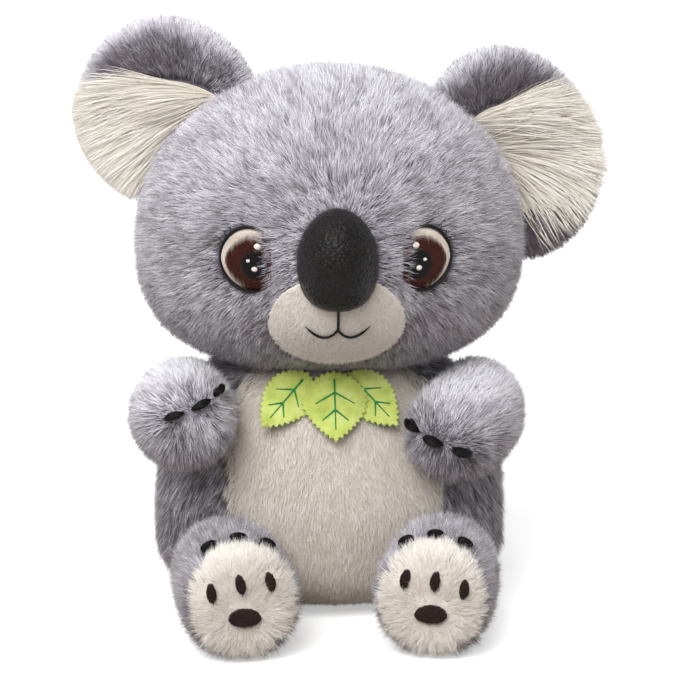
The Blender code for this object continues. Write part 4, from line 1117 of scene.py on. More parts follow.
@dataclass(frozen=True)
class SatinOval:
    """An oval of satin stitches, domed over its padding."""

    half_u: float
    half_v: float
    way: StitchWay
    rise: float
    lift: float = 0.0
    pitch: float = STITCH_WIDTH
    ragged: float = 0.06
    steps: int = 11
    inner_reach: float | None = None
    outward: int = 1
    end_sink: float = 0.0006
    base_sink: float = 0.0012
    overlap: float = 1.25

    def mesh(self, name: str, spot: SurfaceSpot, seed: int) -> bpy.types.Mesh:
        """Return the stitches laid over a spot.

        Args:
            name: the mesh's name.
            spot: where the oval's middle lies.
            seed: the number that its random draws start from.

        Returns:
            One mesh of all its stitches.
        """
        rng = np.random.default_rng(seed)
        along = self.way is StitchWay.ALONG
        half_line, half_row = (self.half_u, self.half_v) if along else (self.half_v, self.half_u)
        count = max(int(2 * half_row / self.pitch), 3)
        rows = (np.arange(count) + 0.5) / count * 2 - 1
        if self.inner_reach is not None:
            rows = rows[rows * half_row * self.outward > -self.inner_reach]
        count = len(rows)
        ends = np.sqrt(1 - rows**2) * half_line
        low = -ends * (1 + rng.normal(size=count) * self.ragged)
        high = ends * (1 + rng.normal(size=count) * self.ragged)
        share = np.linspace(0, 1, self.steps)
        line = low[:, None] + (high - low)[:, None] * share
        row = np.broadcast_to((rows * half_row)[:, None], line.shape)
        inside = np.clip(1 - (line / half_line) ** 2 - (row / half_row) ** 2, 0, 1)
        height = self.lift + self.rise * np.sqrt(inside)
        height = height - self.end_sink * (np.abs(2 * share - 1) ** 8)
        u, v = (line, row) if along else (row, line)
        points = spot.at(u.ravel(), v.ravel(), height.ravel()).reshape(count, self.steps, 3)
        ups = np.broadcast_to(spot.up(), points.shape)
        width = self.pitch * self.overlap * taper(self.steps, 0.25) * rng.uniform(0.9, 1.1, (count, 1))
        return mesh_from(name, *tubes(points, ups, width, width * 0.85))

    def base(self, spot: SurfaceSpot) -> tuple[np.ndarray, list]:
        """Return the padded cloth under the stitches, a low closed dome.

        Args:
            spot: where the oval's middle lies.

        Returns:
            The dome's points and its faces.
        """
        turns, rings = 32, 5
        shares = np.linspace(1, 0.2, rings)
        u, v = ring_points(turns, shares, self.half_u, self.half_v)
        if self.inner_reach is not None:
            u = self.outward * np.maximum(u * self.outward, -self.inner_reach)
        height = self.lift + self.rise * np.sqrt(1 - shares**2) - self.pitch * 0.5
        height = np.repeat(height, turns)
        height[:turns] = -self.base_sink
        return spot.at(u, v, height), ring_faces(turns, rings)


def add_satin(
    node: str, oval: SatinOval, spot: SurfaceSpot, finish: Finish, body: str, slot: str, seed: int
) -> bpy.types.Object:
    """Add an oval of satin stitches with its padding, in place of a node.

    Args:
        node: the node that the stitches stand for.
        oval: the stitches' sizes.
        spot: where the oval's middle lies.
        finish: the thread.
        body: the body it rides on.
        slot: the finish slot's name; not used.
        seed: the number that its random draws start from.

    Returns:
        The piece.
    """
    name = f"{node}_stitches"
    stitches = oval.mesh(name, spot, seed)
    base = mesh_from(f"{name}_base", *oval.base(spot))
    work = bmesh.new()
    work.from_mesh(stitches)
    work.from_mesh(base)
    work.to_mesh(stitches)
    work.free()
    bpy.data.meshes.remove(base)
    return dress(add_object(name, stitches, finish.material()), body, slot, node)


# Sub-assemblies


@dataclass
class Koala:
    """The forms that several sub-assemblies share."""

    head: Rounded
    body: Rounded
    arms: dict[Side, Limb]
    legs: dict[Side, Limb]


@dataclass
class Head:
    """The stuffed head with its grey pile and its sheared white muzzle."""

    half_width: float = 0.0885
    half_depth: float = 0.074
    rise: float = 0.080
    drop: float = 0.058
    upper_power: float = 2.05
    lower_power: float = 2.7
    muzzle_bulge: float = 0.009
    muzzle_half_width: float = 0.029
    muzzle_half_height: float = 0.0218
    muzzle_below: float = 0.0244
    comb_above_nose: float = 0.016
    comb_forward: float = 0.092
    strands: int = 330000
    muzzle_strands: int = 45000
    pile: Pile = Pile(length=0.0078, lean=66, spread=14, tuft_turn=9)
    muzzle_pile: Pile = Pile(
        length=0.0020,
        width=0.00026,
        lean=58,
        spread=26,
        tuft_strands=20,
        tuft_pull=0.06,
        tuft_turn=8,
        depth=0.0012,
    )

    def form(self) -> Rounded:
        """Return the head's form, centred on the joint that it turns on."""
        return Rounded(
            joint_place("head_turn"),
            self.half_width,
            self.half_depth,
            self.rise,
            self.drop,
            self.upper_power,
            self.lower_power,
            self.muzzle_bulge,
        )

    def muzzle_share(self, points: np.ndarray) -> np.ndarray:
        """Return how far points lie from the muzzle's middle, where 1 is its edge."""
        centre = joint_place("head_turn")
        x = (points[:, 0] - centre[0]) / self.muzzle_half_width
        z = (points[:, 2] - centre[2] + self.muzzle_below) / self.muzzle_half_height
        return np.where(points[:, 1] < -0.04, np.hypot(x, z), 9.0)

    def combs(self, points: np.ndarray) -> np.ndarray:
        """Return the way the pile is combed: away from the bridge of the nose, then down."""
        centre = joint_place("head_turn")
        bridge = centre + np.array((0, -self.comb_forward, self.comb_above_nose))
        away = unit(points - bridge)
        back = smooth_step(points[:, 1], -0.03, 0.05)[:, None]
        below = smooth_step(centre[2] - points[:, 2], 0.0, 0.04)[:, None]
        return away + sway(points, 31) - UP * (0.75 * back + 0.45 * below)

    def build(self, eyes: "Eyes", nose: "Nose") -> None:
        """Build the head's cloth, its grey pile and the muzzle's white pile."""
        skin = add_skin("head_skin", self.form(), self.pile.depth, "head", "head_cover", "head_filling")
        rng = np.random.default_rng(11)
        roots, normals = skin.scatter(self.strands, rng)
        share = self.muzzle_share(roots)
        keep = (share > 1.0) & ~eyes.covers(roots) & ~nose.covers(roots)
        keep &= ~Torso().form().encloses(roots, -0.010)
        roots, normals, share = roots[keep], normals[keep], share[keep]
        lengths = 0.55 + 0.45 * smooth_step(share, 1.0, 1.5)
        lengths = lengths * eyes.shortened(roots) * nose.shortened(roots)
        tones = pile_tones(roots, normals, 5)
        strands = grow(roots, normals, self.combs(roots), self.pile, 12, lengths, tones)
        x, y = strands.roots()[:, 0], strands.roots()[:, 1]
        for name, part in (
            ("head_pile_front_right", (y < 0) & (x < 0)),
            ("head_pile_front_left", (y < 0) & (x >= 0)),
            ("head_pile_back_right", (y >= 0) & (x < 0)),
            ("head_pile_back_left", (y >= 0) & (x >= 0)),
        ):
            add_pile(name, strands.chosen(part), GREY_PILE, "head", "grey_plush")
        self.build_muzzle(nose)

    def build_muzzle(self, nose: "Nose") -> None:
        """Build the muzzle's panel and its sheared pile."""
        form = self.form()
        turns, shares = 72, np.linspace(1.04, 0.02, 24)
        spot = FaceSpot(form, form.centre[0], form.centre[2] - self.muzzle_below)
        u, v = ring_points(turns, shares, self.muzzle_half_width, self.muzzle_half_height)
        depth = np.repeat(np.where(shares > 1, -0.0034, -self.muzzle_pile.depth), turns)
        points, faces = spot.at(u, v, depth), ring_faces(turns, len(shares))
        add_cloth("muzzle_skin", points, faces, WHITE_BACKING, "head", "white_plush", "muzzle_panel")
        rng = np.random.default_rng(21)
        away = np.sqrt(rng.uniform(size=self.muzzle_strands)) * 1.02
        angle = rng.uniform(0, 2 * math.pi, self.muzzle_strands)
        u = np.cos(angle) * away * self.muzzle_half_width
        v = np.sin(angle) * away * self.muzzle_half_height
        roots = spot.at(u, v, np.full(len(u), -self.muzzle_pile.depth))
        normals = unit(spot.at(u, v, np.zeros(len(u))) - roots)
        keep = ~nose.covers(roots)
        roots, normals, u = roots[keep], normals[keep], u[keep]
        combs = np.stack((u * 22, np.zeros(len(u)), np.full(len(u), -0.8)), 1)
        tones = 0.5 + 0.12 * ripple(roots, 0.012, 8)
        strands = grow(roots, normals, combs, self.muzzle_pile, 22, 1.0, tones)
        add_pile("muzzle_pile", strands, LIT_MUZZLE_PILE, "head", "white_plush")


@dataclass
class Nose:
    """The egg-shaped leather nose, its wide end down."""

    half_width: float = 0.0176
    half_depth: float = 0.0198
    rise: float = 0.0225
    drop: float = 0.0220
    upper_power: float = 1.9
    lower_power: float = 2.5
    above_level: float = 0.0035
    sink: float = 0.0025
    grain: float = 0.00010
    grain_size: float = 0.0011

    def form(self) -> Rounded:
        """Return the nose's form, seated on the head's front."""
        head = Head().form()
        seat = head.front(head.centre[:1], head.centre[2:] + self.above_level)[0]
        return Rounded(
            seat - FORWARD * self.sink,
            self.half_width,
            self.half_depth,
            self.rise,
            self.drop,
            self.upper_power,
            self.lower_power,
        )

    def covers(self, points: np.ndarray) -> np.ndarray:
        """Return which points lie under the nose."""
        return self.form().encloses(points, -0.0008)

    def shortened(self, points: np.ndarray) -> np.ndarray:
        """Return the share of its length that pile keeps beside the nose."""
        centre = self.form().centre
        x = (points[:, 0] - centre[0]) / self.half_width
        z = (points[:, 2] - centre[2]) / self.rise
        away = np.where(points[:, 1] < 0, np.hypot(x, z), 9.0)
        return 0.5 + 0.5 * smooth_step(away, 1.0, 1.6)

    def build(self) -> None:
        """Build the nose with its embossed grain."""
        skin = Skin.of(self.form(), 0.0, 6)
        grain = ripple(skin.points, self.grain_size, 3) * ripple(skin.points, self.grain_size * 1.7, 4)
        points = skin.points + skin.normals * (grain * self.grain)[:, None]
        nodes = ("nose_cover", "nose_filling")
        add_cloth(
            "nose_leather", points, skin.triangles, NOSE_LEATHER, "head", "nose_leather", *nodes, fill=0.9
        )


@dataclass
class Mouth:
    """Three stitched strokes under the nose."""

    stem_top_below: float = 0.0178
    stem_length: float = 0.0085
    half_width: float = 0.0140
    sag: float = 0.0040
    sag_power: float = 0.8
    end_lift: float = 0.0012
    thread: float = 0.00120
    over: float = 0.0007

    def build(self) -> None:
        """Build the mouth's threads on the muzzle."""
        head = Head().form()
        level = head.centre[2] - self.stem_top_below
        spot = FaceSpot(head, head.centre[0], level)
        steps = 26
        share = np.linspace(0, 1, steps)
        drop = -self.stem_length
        strokes = [(np.zeros(steps), 0.004 + (drop - 0.004) * share)]
        for side in Side:
            sag = np.sin(math.pi * share**self.sag_power) * self.sag
            strokes.append((side.value * self.half_width * share, drop - sag + self.end_lift * share**4))
        paths = np.stack([spot.at(u, v, np.full(steps, self.over)) for u, v in strokes])
        ups = np.broadcast_to(spot.up(), paths.shape)
        width = self.thread * np.minimum(1, 0.25 + 3.0 * (1 - share))
        widths = np.stack((np.full(steps, self.thread), width, width))
        mesh = mesh_from("mouth_threads", *tubes(paths, ups, widths, widths, 8))
        made = add_object("mouth_threads", mesh, BLACK_THREAD.material())
        dress(made, "head", "black_thread", "mouth_stitching")


@dataclass
class Eyes:
    """The two embroidered eyes, whose nose side the pile covers."""

    out: float = 0.0380
    above_level: float = 0.0024
    half_width: float = 0.0127
    half_height: float = 0.0138
    inner_reach: float = 0.0092
    white_reach: float = 0.0050
    root_reach: float = 0.0106
    outline: float = 0.0012
    iris_half_width: float = 0.0116
    iris_half_height: float = 0.0127
    iris_in: float = 0.0008
    iris_down: float = 0.0009
    pupil_half_width: float = 0.0066
    pupil_half_height: float = 0.0082
    pupil_in: float = 0.0020
    pupil_down: float = 0.0021
    lift: float = -0.0011
    layer: float = 0.0003
    lash_length: float = 0.0030
    lash_degrees: tuple[float, ...] = (52, 39, 26)
    lights: tuple[tuple[float, float, float], ...] = (
        (0.0036, 0.0060, 0.00140), (0.0023, -0.0038, 0.00120), (-0.0004, -0.0004, 0.00075)
    )

    def place(self, points: np.ndarray) -> tuple[np.ndarray, np.ndarray]:
        """Return points' distances out from the nearer eye's middle and above it."""
        head = Head().form()
        out = np.abs(points[:, 0] - head.centre[0]) - self.out
        return out, points[:, 2] - head.centre[2] - self.above_level

    def away(self, points: np.ndarray) -> np.ndarray:
        """Return how far points lie from an eye's middle, where 1 is its edge."""
        out, above = self.place(points)
        share = np.hypot(out / self.half_width, above / self.half_height)
        return np.where(points[:, 1] < -0.02, share, 9.0)

    def covers(self, points: np.ndarray) -> np.ndarray:
        """Return which points lie under the stitches that show."""
        out, _ = self.place(points)
        return (self.away(points) < 1.02) & (out > -self.root_reach)

    def shortened(self, points: np.ndarray) -> np.ndarray:
        """Return the share of its length that pile keeps beside the eyes."""
        out, _ = self.place(points)
        near = 1 - smooth_step(self.away(points), 1.0, 1.4)
        inner = smooth_step(-out / self.half_width, 0.45, 0.75)
        return 1 - near * (0.52 - 0.52 * inner)

    def build(self) -> None:
        """Build both eyes."""
        for side in Side:
            self.build_eye(side)

    def build_eye(self, side: Side) -> None:
        """Build one eye's rounds of stitches, its outline, its lashes and its lights."""
        head = Head().form()
        sign, label = side.value, side.label
        x, z = head.centre[0] + sign * self.out, head.centre[2] + self.above_level

        def spot(inward: float, down: float) -> FaceSpot:
            """Return a spot moved towards the nose and down."""
            return FaceSpot(head, x - sign * inward, z - down)

        white = (self.half_width, self.half_height, 0.0, 0.0)
        iris = (self.iris_half_width, self.iris_half_height, self.iris_in, self.iris_down)
        pupil = (self.pupil_half_width, self.pupil_half_height, self.pupil_in, self.pupil_down)
        rounds = (
            ("white", white, IVORY_THREAD, "ivory_thread"),
            ("iris", iris, BROWN_THREAD, "brown_thread"),
            ("pupil", pupil, BLACK_THREAD, "black_thread"),
        )
        for order, (word, (half_u, half_v, inward, down), finish, slot) in enumerate(rounds):
            oval = SatinOval(
                half_u,
                half_v,
                StitchWay.ACROSS,
                rise=0.0006,
                lift=self.lift + self.layer * order,
                ragged=0.012,
                steps=17,
                inner_reach=(self.inner_reach if order else self.white_reach) - inward,
                outward=side.value,
            )
            place, seed = spot(inward, down), 30 + order
            add_satin(f"eye_{word}_{label}", oval, place, finish, "head", slot, seed)
        self.build_outline(side, spot(0, 0))
        self.build_lights(side, spot)

    def build_outline(self, side: Side, spot: FaceSpot) -> None:
        """Build an eye's black outline with its lashes."""
        sign = side.value
        steps = 72
        angle = np.linspace(-0.60, 0.72, steps) * math.pi
        u = sign * np.cos(angle) * (self.half_width + self.outline / 3)
        v = np.sin(angle) * (self.half_height + self.outline / 3)
        path = spot.at(u, v, np.full(steps, self.lift + self.layer))
        width = self.outline * taper(steps, 0.3, 0.25)
        ups = np.broadcast_to(spot.up(), (1, steps, 3))
        points, faces = tubes(path[None], ups, width[None], width[None], 8)
        starts = np.radians(np.array(self.lash_degrees))
        share = np.linspace(0, 1, 9)
        lean = starts[:, None] + 0.10 * share
        reach = 1 + (self.lash_length / self.half_width) * share
        u = sign * np.cos(lean) * self.half_width * reach
        v = np.sin(lean) * self.half_height * reach
        height = np.full(u.size, self.lift + self.layer) + 0.0005
        lashes = spot.at(u.ravel(), v.ravel(), height).reshape(len(starts), len(share), 3)
        widths = np.broadcast_to(0.00085 * (1.05 - share), u.shape)
        ups = np.broadcast_to(spot.up(), lashes.shape)
        more_points, more_faces = tubes(lashes, ups, widths, widths, 6)
        shift = len(points)
        faces += [[index + shift for index in face] for face in more_faces]
        name = f"eye_outline_{side.label}"
        mesh = mesh_from(f"{name}_thread", np.vstack((points, more_points)), faces)
        made = add_object(f"{name}_thread", mesh, BLACK_THREAD.material())
        dress(made, "head", "black_thread", name)

    def build_lights(self, side: Side, spot: Callable[[float, float], FaceSpot]) -> None:
        """Build the white stitches that light an eye."""
        for order, (inward, up, radius) in enumerate(self.lights, 1):
            oval = SatinOval(
                radius,
                radius * 1.08,
                StitchWay.ACROSS,
                rise=0.0004,
                lift=self.lift + self.layer * 4.5,
                ragged=0.04,
                pitch=0.00030,
            )
            name = f"eye_light_{side.label}_{order}"
            mesh = oval.mesh(name, spot(inward, -up), 60 + order)
            dress(add_object(name, mesh, WHITE_THREAD.material()), "head", "ivory_thread")


@dataclass
class Ear:
    """One cupped ear: grey pile on its back and rim, long cream pile in its cup."""

    side: Side
    half_span: float
    half_reach: float
    distance: float
    angle: float
    stream: tuple[float, float, float]
    fan: float
    fall: float
    band_shade: float
    low_shade: float
    low_sparse: float
    cream_span: float
    cream_reach: float
    cream_radius: float
    yaw: float = 12
    half_thickness: float = 0.012
    root_behind: float = 0.0030
    rim: float = 0.0035
    strands: int = 62000
    lining_strands: int = 15000
    pile: Pile = Pile()
    lining_pile: Pile = Pile(
        length=0.034,
        width=0.00034,
        lean=64,
        spread=8,
        tuft_strands=40,
        tuft_turn=7,
        bow=26,
        joints=5,
        droop=0.22,
        length_spread=0.0,
    )

    def form(self) -> EarForm:
        """Return the ear's form, set out from its joint on the head."""
        sign = self.side.value
        angle, yaw = math.radians(self.angle), math.radians(self.yaw)
        level = math.cos(angle)
        out = np.array((sign * level * math.cos(yaw), level * math.sin(yaw), math.sin(angle)))
        front = np.array((sign * math.sin(yaw), -math.cos(yaw), 0.0))
        flat = np.array((sign * level, 0.0, math.sin(angle)))
        head = Head()
        reach = 1 / math.hypot(flat[0] / head.half_width, flat[2] / head.rise)
        surface = joint_place(f"ear_{self.side.label}_flop") + front * self.root_behind
        return EarForm(
            surface + out * (self.distance - reach),
            np.cross(out, front),
            out,
            front,
            self.half_span,
            self.half_reach,
            self.half_thickness,
        )

    def build(self) -> None:
        """Build the ear's cloth, its grey pile and the long pile of its cup."""
        form, label = self.form(), self.side.label
        body = f"ear_{label}"
        nodes = (f"ear_cover_{label}", f"ear_filling_{label}")
        skin = add_skin(f"ear_{label}_skin", form, self.pile.depth, body, *nodes)
        rng = np.random.default_rng(40 + self.side.value)
        roots, normals = skin.scatter(self.strands, rng)
        local = form.local(roots)
        front = normals @ form.front_way
        patch = self.cream_share(local[:, 0], local[:, 1])
        keep = ((patch > 1) | (front < 0.1)) & ~Head().form().encloses(roots, -0.002)
        edge = np.hypot(local[:, 0] / self.half_span, local[:, 1] / self.half_reach)
        # Painted shade: the grey band beside the cream cup is darker, as the shadow of the rolled rim's
        # fold and partly the pile's own darker grey, and the outer rim is lighter; the pile is also darker
        # towards the ear's bottom.
        shade = smooth_step(edge, 0.66, 0.94) * 0.72 - self.band_shade
        low = smooth_step(form.centre[2] - roots[:, 2], 0.004, 0.026) * self.low_shade
        tones = pile_tones(roots, normals, 6) + np.where(front > 0.1, shade, 0.1) - low
        radial = form.span_way * local[:, :1] + form.reach_way * local[:, 1:2]
        combs = unit(radial) + form.reach_way * 0.3 - form.front_way * 0.15
        lengths = 1 - 0.25 * smooth_step(edge, 0.7, 0.95)
        roots, normals, combs, lengths, tones = (
            values[keep] for values in (roots, normals, combs, lengths, tones)
        )
        strands = grow(roots, normals, combs, self.pile, 42 + self.side.value, lengths, tones)
        add_pile(f"ear_{label}_pile", strands, EAR_PILE, body, "grey_plush")
        self.build_lining(form, body)

    def cream_share(self, x: np.ndarray, y: np.ndarray) -> np.ndarray:
        """Return how far places on the ear lie from the cream patch's middle, where 1 is its edge."""
        disc = np.hypot(x / (self.half_span - self.rim), y / (self.half_reach - self.rim))
        patch = np.hypot(x - self.cream_span, y - self.cream_reach) / self.cream_radius
        return np.maximum(disc, patch)

    def build_lining(self, form: EarForm, body: str) -> None:
        """Build the cup's cream cloth and the long strands that stream out of it."""
        label = self.side.label
        turns, rings = 64, 20
        disc = np.array((self.half_span - self.rim, self.half_reach - self.rim))
        patch = np.array((self.cream_span, self.cream_reach))
        middle = patch * 0.42
        angles = np.arange(turns) * (2 * math.pi / turns)
        ways = np.stack((np.cos(angles), np.sin(angles)), 1)
        starts = np.broadcast_to(middle, ways.shape)
        edge = np.minimum(
            way_out(starts, ways, np.zeros(2), disc),
            way_out(starts, ways, patch, np.full(2, self.cream_radius)),
        )
        shares = np.linspace(1.03, 0.02, rings)

        def cup(x: np.ndarray, y: np.ndarray, depth: np.ndarray | float) -> np.ndarray:
            """Return the cup's points at distances along the span and the reach."""
            around = np.hypot(x / form.half_span, y / form.half_reach)
            power = form.rim_power
            front = form.half_thickness * np.maximum(1 - around**power, 0) ** (1 / power)
            front = front - form.dish_depth * np.exp(-((around / form.dish_spread_share) ** 2))
            flat = form.span_way * x[:, None] + form.reach_way * y[:, None]
            return form.centre + flat + form.front_way * (front - depth)[:, None]

        flat = (middle + ways * edge[:, None] * shares[:, None, None]).reshape(-1, 2)
        depth = np.repeat(np.where(shares > 1, 0.0040, 0.0020), turns)
        name = f"ear_{label}_lining"
        points, faces = cup(*flat.T, depth), ring_faces(turns, rings)
        add_cloth(name, points, faces, CREAM_BACKING, body, "cream_plush", f"ear_lining_{label}", fill=0.6)
        rng = np.random.default_rng(50 + self.side.value)
        halves = np.array((self.half_span, self.half_reach))
        flat = rng.uniform(-1, 1, (self.lining_strands * 3, 2)) * halves
        flat = flat[self.cream_share(*flat.T) < 0.98]
        roots = cup(*flat.T, np.full(len(flat), 0.0020))
        thin = smooth_step(form.centre[2] - roots[:, 2], -0.004, 0.016) * self.low_sparse
        keep = ~Head().form().encloses(roots, -0.001) & (rng.uniform(0, 1, len(roots)) > thin)
        roots, flat = roots[keep][: self.lining_strands], flat[keep][: self.lining_strands]
        normals = np.broadcast_to(form.front_way, roots.shape)
        inner = joint_place(f"ear_{label}_flop")
        combs = np.array(self.stream) + unit(roots - inner) * self.fan
        combs -= UP * (self.fall * smooth_step(form.centre[2] - roots[:, 2], -0.006, 0.024))[:, None]
        flow = unit(np.stack((combs @ form.span_way, combs @ form.reach_way), 1))
        room = way_out(flat, flow, np.zeros(2), halves + 0.0012) + 0.0015
        low = smooth_step(form.centre[2] - roots[:, 2], 0.006, 0.030) * self.low_sparse
        room -= 0.016 * low * rng.uniform(0, 1, len(flat))
        lengths = np.minimum(rng.uniform(0.75, 1.1, len(flat)), room / self.lining_pile.length)
        tones = 0.55 + 0.16 * ripple(roots, 0.010, 7)
        strands = grow(roots, normals, combs, self.lining_pile, 52 + self.side.value, lengths, tones)
        add_pile(f"{name}_pile", strands, CREAM_PILE, body, "cream_plush")


@dataclass
class Torso:
    """The stuffed body with its grey pile, its white belly and its laced back seam."""

    level: float = 0.032
    half_width: float = 0.082
    half_depth: float = 0.064
    rise: float = 0.092
    drop: float = 0.0325
    upper_power: float = 2.5
    lower_power: float = 3.4
    belly_half_width: float = 0.0475
    belly_half_height: float = 0.0575
    belly_above: float = 0.0270
    belly_upper_power: float = 3.4
    strands: int = 150000
    belly_strands: int = 60000
    pile: Pile = Pile(length=0.0076, lean=68, spread=14, tuft_turn=9)
    belly_pile: Pile = Pile(
        length=0.0038,
        width=0.00030,
        lean=70,
        spread=13,
        tuft_strands=20,
        tuft_pull=0.06,
        tuft_turn=6,
        depth=0.0016,
    )

    def form(self) -> Rounded:
        """Return the body's form."""
        return Rounded(
            np.array((0.0, 0.0, self.level)),
            self.half_width,
            self.half_depth,
            self.rise,
            self.drop,
            self.upper_power,
            self.lower_power,
        )

    def build(self, koala: Koala) -> None:
        """Build the body's cloth, its grey pile and the belly's pile, and give the back seam's thread its
        material.
        """
        form = self.form()
        nodes = ("body_cover", "body_filling", "belly_panel")
        skin = add_skin("body_skin", form, self.pile.depth, "torso", *nodes)
        rng = np.random.default_rng(71)
        for count, white in ((self.strands, False), (self.belly_strands * 4, True)):
            roots, normals = skin.scatter(count, rng)
            hidden = koala.head.encloses(roots, -0.008)
            for limb in (*koala.arms.values(), *koala.legs.values()):
                hidden |= limb.encloses(roots, -0.007)
            keep = ~hidden & (roots[:, 2] > 0.0012) & (self.on_belly(roots) == white)
            roots, normals = roots[keep], normals[keep]
            combs = np.stack((roots[:, 0] * 5, np.zeros(len(roots)), np.full(len(roots), -1.0)), 1)
            combs += sway(roots, 34)
            if white:
                roots = roots + normals * (self.pile.depth - self.belly_pile.depth + 0.0002)
                level = roots[:, 2]
                # Painted shade: the belly's pile is darker at its top under the chin and leaves and at its
                # bottom by the legs.
                shaded = smooth_step(0.055 - level, 0.0, 0.03) + smooth_step(level, 0.105, 0.130)
                tones = 0.60 + 0.06 * ripple(roots, 0.014, 12) - 0.42 * shaded
                strands = grow(roots, normals, combs, self.belly_pile, 73, 1.0, tones)
                add_pile("belly_pile", strands, SHADED_BELLY_PILE, "torso", "white_plush")
            else:
                # Painted shade: the body's grey pile is darker all over, for the shade under the head and
                # arms.
                tones = pile_tones(roots, normals, 10) - 0.20
                strands = grow(roots, normals, combs, self.pile, 72, 1.0, tones)
                front = strands.roots()[:, 1] < 0
                add_pile("body_pile_front", strands.chosen(front), GREY_PILE, "torso", "grey_plush")
                add_pile("body_pile_back", strands.chosen(~front), GREY_PILE, "torso", "grey_plush")
        self.build_belly(form)
        thread = frame["nodes"]["closing_seam_thread"]
        thread.data.materials.clear()
        thread.data.materials.append(GREY_THREAD.material())

    def on_belly(self, points: np.ndarray) -> np.ndarray:
        """Return which points lie on the belly's white round."""
        x = points[:, 0] / self.belly_half_width
        z = (points[:, 2] - self.level - self.belly_above) / self.belly_half_height
        power = np.where(z > 0, self.belly_upper_power, 2.0)
        reach = (np.abs(x) ** power + np.abs(z) ** power) ** (1 / power)
        return (reach + ripple(points, 0.006, 9) * 0.02 < 1) & (points[:, 1] < 0)

    def build_belly(self, form: Rounded) -> None:
        """Build the belly's white cloth under its pile."""
        turns, shares = 72, np.linspace(1.0, 0.02, 20)
        spot = FaceSpot(form, 0.0, self.level + self.belly_above)
        halves = (self.belly_half_width, self.belly_half_height)
        u, v = ring_points(turns, shares, *halves, self.belly_upper_power)
        depth = np.repeat(np.where(shares > 0.99, -0.0036, -self.belly_pile.depth), turns)
        points, faces = spot.at(u, v, depth), ring_faces(turns, len(shares))
        add_cloth("belly_skin", points, faces, WHITE_BACKING, "torso", "white_plush")


@dataclass
class Arm:
    """One stuffed arm with its pile and the claw stitches on its paw."""

    side: Side
    heading: float
    climb: float
    bend: float
    claw_out: float
    claw_climb: float
    length: float = 0.041
    upper_radius: float = 0.0195
    paw_radius: float = 0.0248
    paw_power: float = 2.2
    bluntness: float = 0.95
    claw_spread: float = 32
    claw_roll: float = 19
    claw_half_length: float = 0.0050
    claw_half_width: float = 0.0017
    parting: float = 0.012
    strands: int = 46000
    pile: Pile = Pile()

    def form(self) -> Limb:
        """Return the arm's form, rooted on its joint."""
        sign = self.side.value
        root = joint_place(f"arm_{self.side.label}_swing")
        heading, climb = math.radians(self.heading), math.radians(self.climb)
        level = np.array((sign * math.sin(heading), -math.cos(heading), 0.0))
        way = level * math.cos(climb) + UP * math.sin(climb)
        bend = np.array((sign * self.bend, 0.0, 0.0))
        return Limb(
            root,
            root + way * self.length,
            bend,
            self.upper_radius,
            self.paw_radius,
            self.paw_power,
            self.bluntness,
        )

    def claw_spots(self) -> list[Spot]:
        """Return where the claws are stitched, from the toy's right to its left."""
        form, sign = self.form(), self.side.value
        roll = math.radians(self.claw_roll)

        def direction(step: float) -> np.ndarray:
            """Return the direction of the paw's point at a step along the row."""
            along = math.radians(self.claw_spread) * step
            out = math.radians(self.claw_out) + along * math.cos(roll)
            climb = math.radians(self.claw_climb) - sign * along * math.sin(roll)
            level = math.cos(climb)
            return np.array((level * math.sin(out), math.sin(climb), level * math.cos(out)))

        spots = []
        for step in (-1, 0, 1):
            ends = form.place(np.stack((direction(step - 0.1), direction(step + 0.1))))
            spots.append(Spot(form, direction(step), unit(ends[1] - ends[0])))
        return spots

    def build(self, koala: Koala) -> None:
        """Build the arm's cloth, its pile and its claws."""
        form, label = self.form(), self.side.label
        body = f"arm_{label}"
        nodes = (f"arm_{label}_cover", f"arm_{label}_filling")
        skin = add_skin(f"arm_{label}_skin", form, self.pile.depth, body, *nodes)
        rng = np.random.default_rng(80 + self.side.value)
        roots, normals = skin.scatter(self.strands, rng)
        middle = self.claw_spots()[1]
        start, row = middle.middle(), middle.long_way
        parting = np.clip((roots - start) @ row, -self.parting, self.parting)
        combs = unit(roots - start - row * parting[:, None]) - UP * 0.10
        lengths = cleared(roots, self.claw_spots(), 0.30, 0.0040, 0.0090)
        keep = ~koala.body.encloses(roots, -0.003) & ~koala.head.encloses(roots, -0.004)
        # Painted light from above: the arm's pile is lighter still where it faces up.
        tones = pile_tones(roots, normals, 13) + 0.02 + 0.22 * normals[:, 2]
        roots, normals, combs, lengths, tones = (
            values[keep] for values in (roots, normals, combs, lengths, tones)
        )
        strands = grow(roots, normals, combs, self.pile, 82 + self.side.value, lengths, tones)
        add_pile(f"arm_{label}_pile", strands, GREY_PILE, body, "grey_plush")
        halves = (self.claw_half_length, self.claw_half_width)
        oval = SatinOval(*halves, StitchWay.ALONG, rise=0.0016, lift=0.0014)
        for order, spot in enumerate(self.claw_spots(), 1):
            node = f"arm_claw_{label}_{order}"
            add_satin(node, oval, spot, BLACK_THREAD, body, "black_thread", 90 + order)

